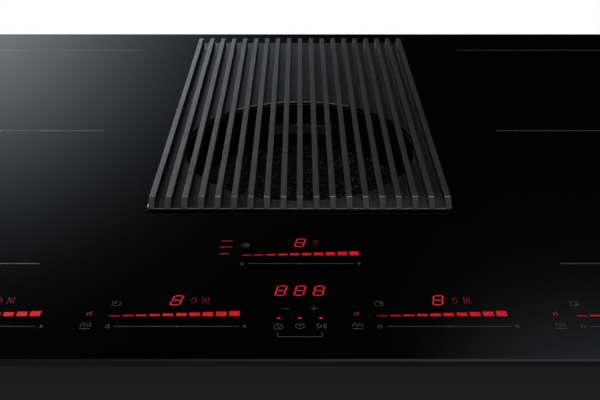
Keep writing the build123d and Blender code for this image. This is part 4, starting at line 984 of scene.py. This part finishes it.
# %% [markdown]
# ## The scales
# Each of the five sliders has a line with a tick in its middle, and a number at each end. The
# small signs beside them say what the slider serves: a dish with steam for keeping warm, and a
# box with a marked corner for the place of the zone.


# %% Signs of the scales
def warm_dish(shape, x, y):
    """A dish under a round cover, with steam inside. x and y are its lower left corner."""
    mid, dome = x + 2.8, y + 2.6
    stroke(shape, (x, y), (x + 5.6, y), broad)
    for start in (-25, 120):
        arc(shape, (mid, dome), 2.7, hair, start, 85)
    for side in (-0.8, 0.8):
        for level, start in ((dome, -90), (dome + 1.3, 90)):
            arc(shape, (mid + side, level), 0.65, hair, start, 180, 8)


def place_box(shape, x, y, corner):
    """A box with rounded ends and a filled mark in one corner, given as (right, back)."""
    w, h, bend, inset = 4.2, 3.8, 0.5, 1.3
    for side in (0, w):
        stroke(shape, (x + side, y + bend), (x + side, y + h - bend), hair)
    for side in (0, h):
        stroke(shape, (x + bend, y + side), (x + w - bend, y + side), hair)
    for right, back, start in ((0, 0, 180), (1, 0, 270), (1, 1, 0), (0, 1, 90)):
        middle = (x + (w - bend if right else bend), y + (h - bend if back else bend))
        arc(shape, middle, bend, hair, start, 90, 4)
    mark = x + (w - inset if corner[0] else inset)
    level = y + (h - inset if corner[1] else inset)
    stroke(shape, (mark - 0.5, level), (mark + 0.5, level), 1.0)


def scale_line(shape, x, y, length, tick):
    """A level line with a short tick."""
    stroke(shape, (x, y), (x + length, y), broad)
    stroke(shape, (x + tick, y - 0.9), (x + tick, y + 0.9), 0.5)


# %% Sliders' print
slider_xs = (-209.2, -102.3, 41.1, 147.85)
zone_corners = ((0, 0), (0, 1), (1, 1), (1, 0))
scales = bmesh.new()
for x, corner in zip(slider_xs, zone_corners):
    zero(scales, x, -234.0)
    scale_line(scales, x + 4.8, -232.5, 65.2, 32.7)
    number(scales, "9", x + 72.0, -234.0, 3.0)
    place_box(scales, x - 0.1, -213.9, corner)
    warm_dish(scales, x - 13.4, -234.4)
zero(scales, -34.9, -173.5)
scale_line(scales, -30.6, -171.9, 62.0, 30.6)
number(scales, "9", 33.6, -173.5, 3.0)
print("scales so far", len(scales.faces), "faces")

# %% [markdown]
# ## The keys in the middle
# Below the clock digits are a minus and a plus, and in the front row a padlock, a power sign and
# a play and pause sign, each drawn with a few strokes and arcs. A bracket below joins the first
# and the last, which are pressed together. A small blade wheel marks the fan's slider.


# %% Keys' print
def path(shape, points, width):
    """Adds strokes from point to point."""
    for start, end in zip(points, points[1:]):
        stroke(shape, start, end, width)


minus = [(-9.9, -216.6), (-5.9, -216.6)]
plus = [(5.4, -216.6), (9.4, -216.6)], [(7.4, -218.6), (7.4, -214.6)]
lock = [(-13.4, -231.6), (-13.4, -234.7), (-9.2, -234.7), (-9.2, -231.6), (-13.4, -231.6)]
keyhole = [(-11.3, -233.8), (-11.3, -232.5)]
power = [(0.0, -232.6), (0.0, -229.9)]
play = [(9.1, -234.1), (9.1, -230.1), (11.8, -232.1), (9.1, -234.1)]
pause = [(12.7, -234.1), (12.7, -230.1)], [(13.7, -234.1), (13.7, -230.1)]
bracket = [(-11.6, -237.4), (-11.6, -241.2), (11.5, -241.2), (11.5, -237.4)]
for points in (minus, *plus, power, *pause):
    path(scales, points, broad)
for points in (lock, play, bracket):
    path(scales, points, pen)
path(scales, keyhole, 0.6)
arc(scales, (-11.3, -231.6), 1.7, pen, 0, 180)
arc(scales, (0.0, -232.1), 2.3, pen, 105, 330, 28)
hub = (-32.8, -151.4)
arc(scales, hub, 2.3, hair, 0, 360, 28)
for blade in range(3):
    way = radians(90 + 120 * blade)
    stroke(scales, hub, (hub[0] + 1.8 * cos(way), hub[1] + 1.8 * sin(way)), 0.6)
finished(scales, "scale_print", [scale_ink], "hob", "print_grey")

# %% [markdown]
# ## The lit bars
# A slider shows its setting as ten bars that grow from left to right.

# %% Bars
bar_count, bar_pitch, bar_low = 10, 7.12, 0.5


def growing_bars(shape, x, y, width, high):
    """Adds bars on one line, each a little taller than the one before."""
    for step in range(bar_count):
        left = x + step * bar_pitch
        height = bar_low + (high - bar_low) * step / (bar_count - 1)
        block(shape, (left, left + width), (y, y + height), ink)


levels = bmesh.new()
for x in slider_xs:
    growing_bars(levels, x + 0.25, -223.4, 5.6, 4.5)
growing_bars(levels, -34.45, -162.8, 5.55, 4.3)
finished(levels, "level_bars", [lit_red], "hob", "digit_red")

# %% [markdown]
# ## The digits
# A digit of seven segments is drawn upright from short strokes with a gap at each joint, and then
# leaned with a shear.

# %% Seven-segment digits
digit_w, thick, gap, end_gap, lean = 5.9, 0.85, 0.35, 0.65, 0.17


def lit_digit(shape, x, y, height):
    """Adds an eight with its middle at x and its foot at y."""
    foot, mid, head = thick / 2, height / 2, height - thick / 2
    side = digit_w / 2 - thick / 2
    made = []
    for level in (foot, mid, head):
        made += stroke(shape, (-side + end_gap, level), (side - end_gap, level), thick)
    for across in (-side, side):
        made += stroke(shape, (across, foot + gap), (across, mid - gap), thick)
        made += stroke(shape, (across, mid + gap), (across, head - gap), thick)
    shear = Matrix.Identity(4)
    shear[0][1] = lean
    place = Matrix.Translation((x - lean * mid, y, 0))
    bmesh.ops.transform(shape, matrix=place @ shear, verts=made)


digits = bmesh.new()
for x in slider_xs:
    lit_digit(digits, x + 34.7, -213.6, 9.4)
lit_digit(digits, 0.0, -153.4, 9.7)
for x in (-10.6, 0.0, 10.6):
    lit_digit(digits, x, -204.6, 10.0)
finished(digits, "lit_digits", [digit_red], "hob", "digit_red")

# %% [markdown]
# ## Dots and dim signs
# Three lit dots stand over the keys. The clocks, the bridges, the two strokes for keeping warm and
# the three beside the fan's slider are only faintly lit.

# %% Dots
dot_w, dot_half = 1.3, 0.3
dots = bmesh.new()
for x in (-11.3, 0.0, 11.2):
    for side in (-dot_half, dot_half):
        arc(dots, (x + side, -225.2), dot_w / 4, dot_w / 2, 0, 360, 12)
    stroke(dots, (x - dot_half, -225.2), (x + dot_half, -225.2), dot_w)
finished(dots, "key_dots", [digit_red], "hob", "digit_red")


# %% Dim signs
def clock_sign(shape, x, y):
    """A tall clock face with its hand, open at the left."""
    arc(shape, (x, y + 0.7), 1.8, pen, 0, 120, 10)
    arc(shape, (x, y - 0.7), 1.8, pen, -120, 120, 10)
    stroke(shape, (x + 1.8, y - 0.7), (x + 1.8, y + 0.7), pen)
    path(shape, [(x - 1.7, y + 0.3), (x, y + 0.3), (x, y + 1.6)], pen)


def bridge_sign(shape, x, y):
    """Two brackets with a bar between them."""
    low, high = y - 2.7, y + 2.7
    for side in (-1.5, 1.5):
        ends = (x + side / 2, low), (x + side, low), (x + side, high), (x + side / 2, high)
        path(shape, ends, pen)
    for level in (-1.4, 1.4):
        stroke(shape, (x - 0.7, y + level), (x + 0.7, y + level), pen)
    stroke(shape, (x, y - 1.4), (x, y + 1.4), 0.5)


signs = bmesh.new()
for x in slider_xs:
    clock_sign(signs, x + 43.5, -209.0)
    bridge_sign(signs, x + 50.5, -209.0)
    stroke(signs, (x - 11.7, -222.8), (x - 11.7, -220.4), 0.9)
    stroke(signs, (x - 10.0, -222.8), (x - 10.0, -219.6), 0.9)
clock_sign(signs, 9.0, -148.2)
for y, left, right in ((-146.4, -47.8, -41.2), (-153.4, -48.8, -41.2), (-161.0, -48.5, -42.4)):
    stroke(signs, (left, y), (right, y), 1.2)
finished(signs, "dim_signs", [dim_red], "hob", "digit_red")

# %% [markdown]
# ## The stage
# The part stands on a plain pale floor. Near the object the floor is a real surface that keeps
# the shadow; farther out it fades to the white of the background for the camera. From below it
# is clear, so that the underside can be looked at too. To matt surfaces it acts as a light
# table, which fills the shade under the part evenly.

# %% Floor
floor_z, floor_r = cad_box[0].z, 6.0
fade_from, fade_to, table_light = 0.55, 0.95, 0.6
paper_grey, mirrored_grey = grey(0.86), grey(0.14)
ground = bmesh.new()
bmesh.ops.create_circle(ground, cap_ends=True, segments=96, radius=floor_r)
bmesh.ops.translate(ground, vec=(0, 0, floor_z), verts=ground.verts)
floor_mesh = meshed(ground, "floor")
floor = linked("floor", floor_mesh)
paper = bpy.data.materials.new("paper")
paper.use_nodes = True
tree = paper.node_tree
tree.nodes.clear()
rays = add(tree, "LightPath").outputs
reach = add(tree, "VectorMath", {0: spot(tree)}, operation="LENGTH").outputs["Value"]
shade = mixed(tree, rays["Is Glossy Ray"], paper_grey, mirrored_grey)
to_eye = product(tree, rays["Is Camera Ray"], 1 - table_light)
strength = maths(tree, "ADD", to_eye, table_light)
seen = product(tree, ramp(tree, reach, fade_from, fade_to), rays["Is Camera Ray"])
whiteness = maths(tree, "MAXIMUM", seen, rays["Is Diffuse Ray"])
real = add(tree, "BsdfDiffuse", {"Color": shade}).outputs[0]
white = add(tree, "Emission", {"Strength": strength}).outputs[0]
table = add(tree, "MixShader", {"Fac": whiteness, 1: real, 2: white}).outputs[0]
below = add(tree, "NewGeometry").outputs["Backfacing"]
clear = add(tree, "BsdfTransparent").outputs[0]
one_sided = add(tree, "MixShader", {"Fac": below, 1: table, 2: clear}).outputs[0]
add(tree, "OutputMaterial", {"Surface": one_sided})
floor_mesh.materials.append(paper)
print("floor at %.3f m" % floor_z)

# %% [markdown]
# ## The surroundings
# Black polished glass is a mirror, so its look is made by what stands around it. The camera sees
# a white background. For reflections the sky is dark but for a soft white panel at the back left
# over a low bright band, a fainter low band round the sides, a faint panel high at the right, one
# higher still behind, and a dim glow in front, all a little cool, like daylight. Each is placed by
# its rise above the horizon and its bearing from straight back, in degrees. Matt surfaces are lit
# by an even grey sky.

# %% Rise and bearing
world = bpy.data.worlds.new("studio")
scene.world = world
world.use_nodes = True
tree = world.node_tree
tree.nodes.clear()
way = axes(tree, add(tree, "TexCoord").outputs["Generated"])
rays = add(tree, "LightPath").outputs
glossy = rays["Is Glossy Ray"]
rise = maths(tree, "DEGREES", maths(tree, "ARCSINE", way["Z"]))
bearing = maths(tree, "DEGREES", maths(tree, "ARCTAN2", way["X"], way["Y"]))
off_back = maths(tree, "ABSOLUTE", bearing)
print("world", world.name, "measured in degrees")


# %% Panels of the sky
def falloff(value, start, width, power, gain=1.0):
    """One up to start, then a soft bell-like fall over about the width."""
    past = maths(tree, "DIVIDE", maths(tree, "SUBTRACT", value, start), width)
    curve = maths(tree, "POWER", maths(tree, "MAXIMUM", past, 0.0), power)
    return maths(tree, "EXPONENT", product(tree, curve, -gain))


left_panel = (
    falloff(bearing, -22.0, 10.0, 1.75),
    ramp(tree, bearing, -90.0, -55.0, 0.0, 0.85),
    falloff(rise, 16.0, 10.0, 1.93, 1.165),
)
back_band = (
    falloff(bearing, -17.0, 7.0, 1.3),
    ramp(tree, bearing, -60.0, -30.0, 0.0, 19.0),
    ramp(tree, rise, 7.0, 15.5, 1.0, 0.0),
)
side_band = (
    ramp(tree, off_back, 50.0, 75.0),
    ramp(tree, off_back, 100.0, 150.0, 0.8, 0.3),
    ramp(tree, rise, 10.0, 30.0, 1.0, 0.0),
)
right_glow = (
    ramp(tree, bearing, 6.0, 34.0, 0.0, 0.62),
    ramp(tree, bearing, 60.0, 90.0, 1.0, 0.0),
    falloff(product(tree, rise, -1.0), -42.0, 6.6, 2.0),
    ramp(tree, rise, 50.0, 66.0, 1.0, 0.0),
)
top_glow = (
    ramp(tree, rise, 56.0, 62.0, 0.0, 2.6),
    ramp(tree, rise, 72.0, 78.0, 1.0, 0.0),
    ramp(tree, off_back, 28.0, 55.0, 1.0, 0.0),
)
front_glow = (
    ramp(tree, way["X"], -0.35, 0.35, 0.18, 0.75),
    ramp(tree, off_back, 110.0, 150.0),
    ramp(tree, rise, 36.0, 50.0),
    ramp(tree, rise, 66.0, 80.0, 1.0, 0.0),
)
panels = (left_panel, back_band, side_band, right_glow, top_glow, front_glow)
print("sky of", len(panels), "panels")

# %% Sky
matt_light, cool_white = 0.42, (0.96, 1.0, 1.07)
sky = product(tree, *left_panel)
for panel in panels[1:]:
    sky = maths(tree, "MAXIMUM", sky, product(tree, *panel))
matt_sky = product(tree, maths(tree, "SUBTRACT", 1.0, glossy), matt_light)
lighting = maths(tree, "ADD", product(tree, sky, glossy), matt_sky)
daylight = {
    "Color": mixed(tree, glossy, grey(1.0), cool_white),
    "Strength": maths(tree, "MAXIMUM", lighting, rays["Is Camera Ray"]),
}
add(tree, "OutputWorld", {"Surface": add(tree, "Background", daylight).outputs[0]})
print("sky done")

# %% [markdown]
# ## Lamps
# One wide lamp above the back left gives the soft shadow, and a weaker one from the front keeps
# the near sides readable. They are hidden from reflections, because the sky already holds the
# panels that the glass mirrors.


# %% Lamps
def lamp(name, place, size, power):
    """A wide soft lamp at a place, pointing at the origin."""
    light = bpy.data.lights.new(name, "AREA")
    light.shape = "DISK"
    light.size = size
    light.energy = power
    holder = linked(name, light)
    holder.location = place
    holder.rotation_mode = "QUATERNION"
    holder.rotation_quaternion = (-Vector(place)).to_track_quat("-Z", "Y")
    holder.visible_glossy = False
    holder.visible_camera = False


lamp("key", (-0.2, 0.9, 2.5), 0.8, 46.0)
lamp("fill", (1.3, -1.7, 2.4), 1.2, 9.0)
print("lamps done")

# %% [markdown]
# ## The camera
# It looks straight back from 277 mm above the glass, tilted down by 28.7 degrees, through a
# normal lens. These values come from fitting the straight lines of the picture.

# %% Camera
lens = bpy.data.cameras.new("camera")
lens.lens = 51.9
lens.sensor_width = 36.0
lens.clip_start = 0.01
camera = linked("camera", lens)
camera.location = (0.0, -0.5992, 0.2821)
camera.rotation_euler = (radians(61.29), 0.0, 0.0)
scene.camera = camera
scene.view_settings.view_transform = "Standard"
print("camera at", tuple(round(c, 4) for c in camera.location))
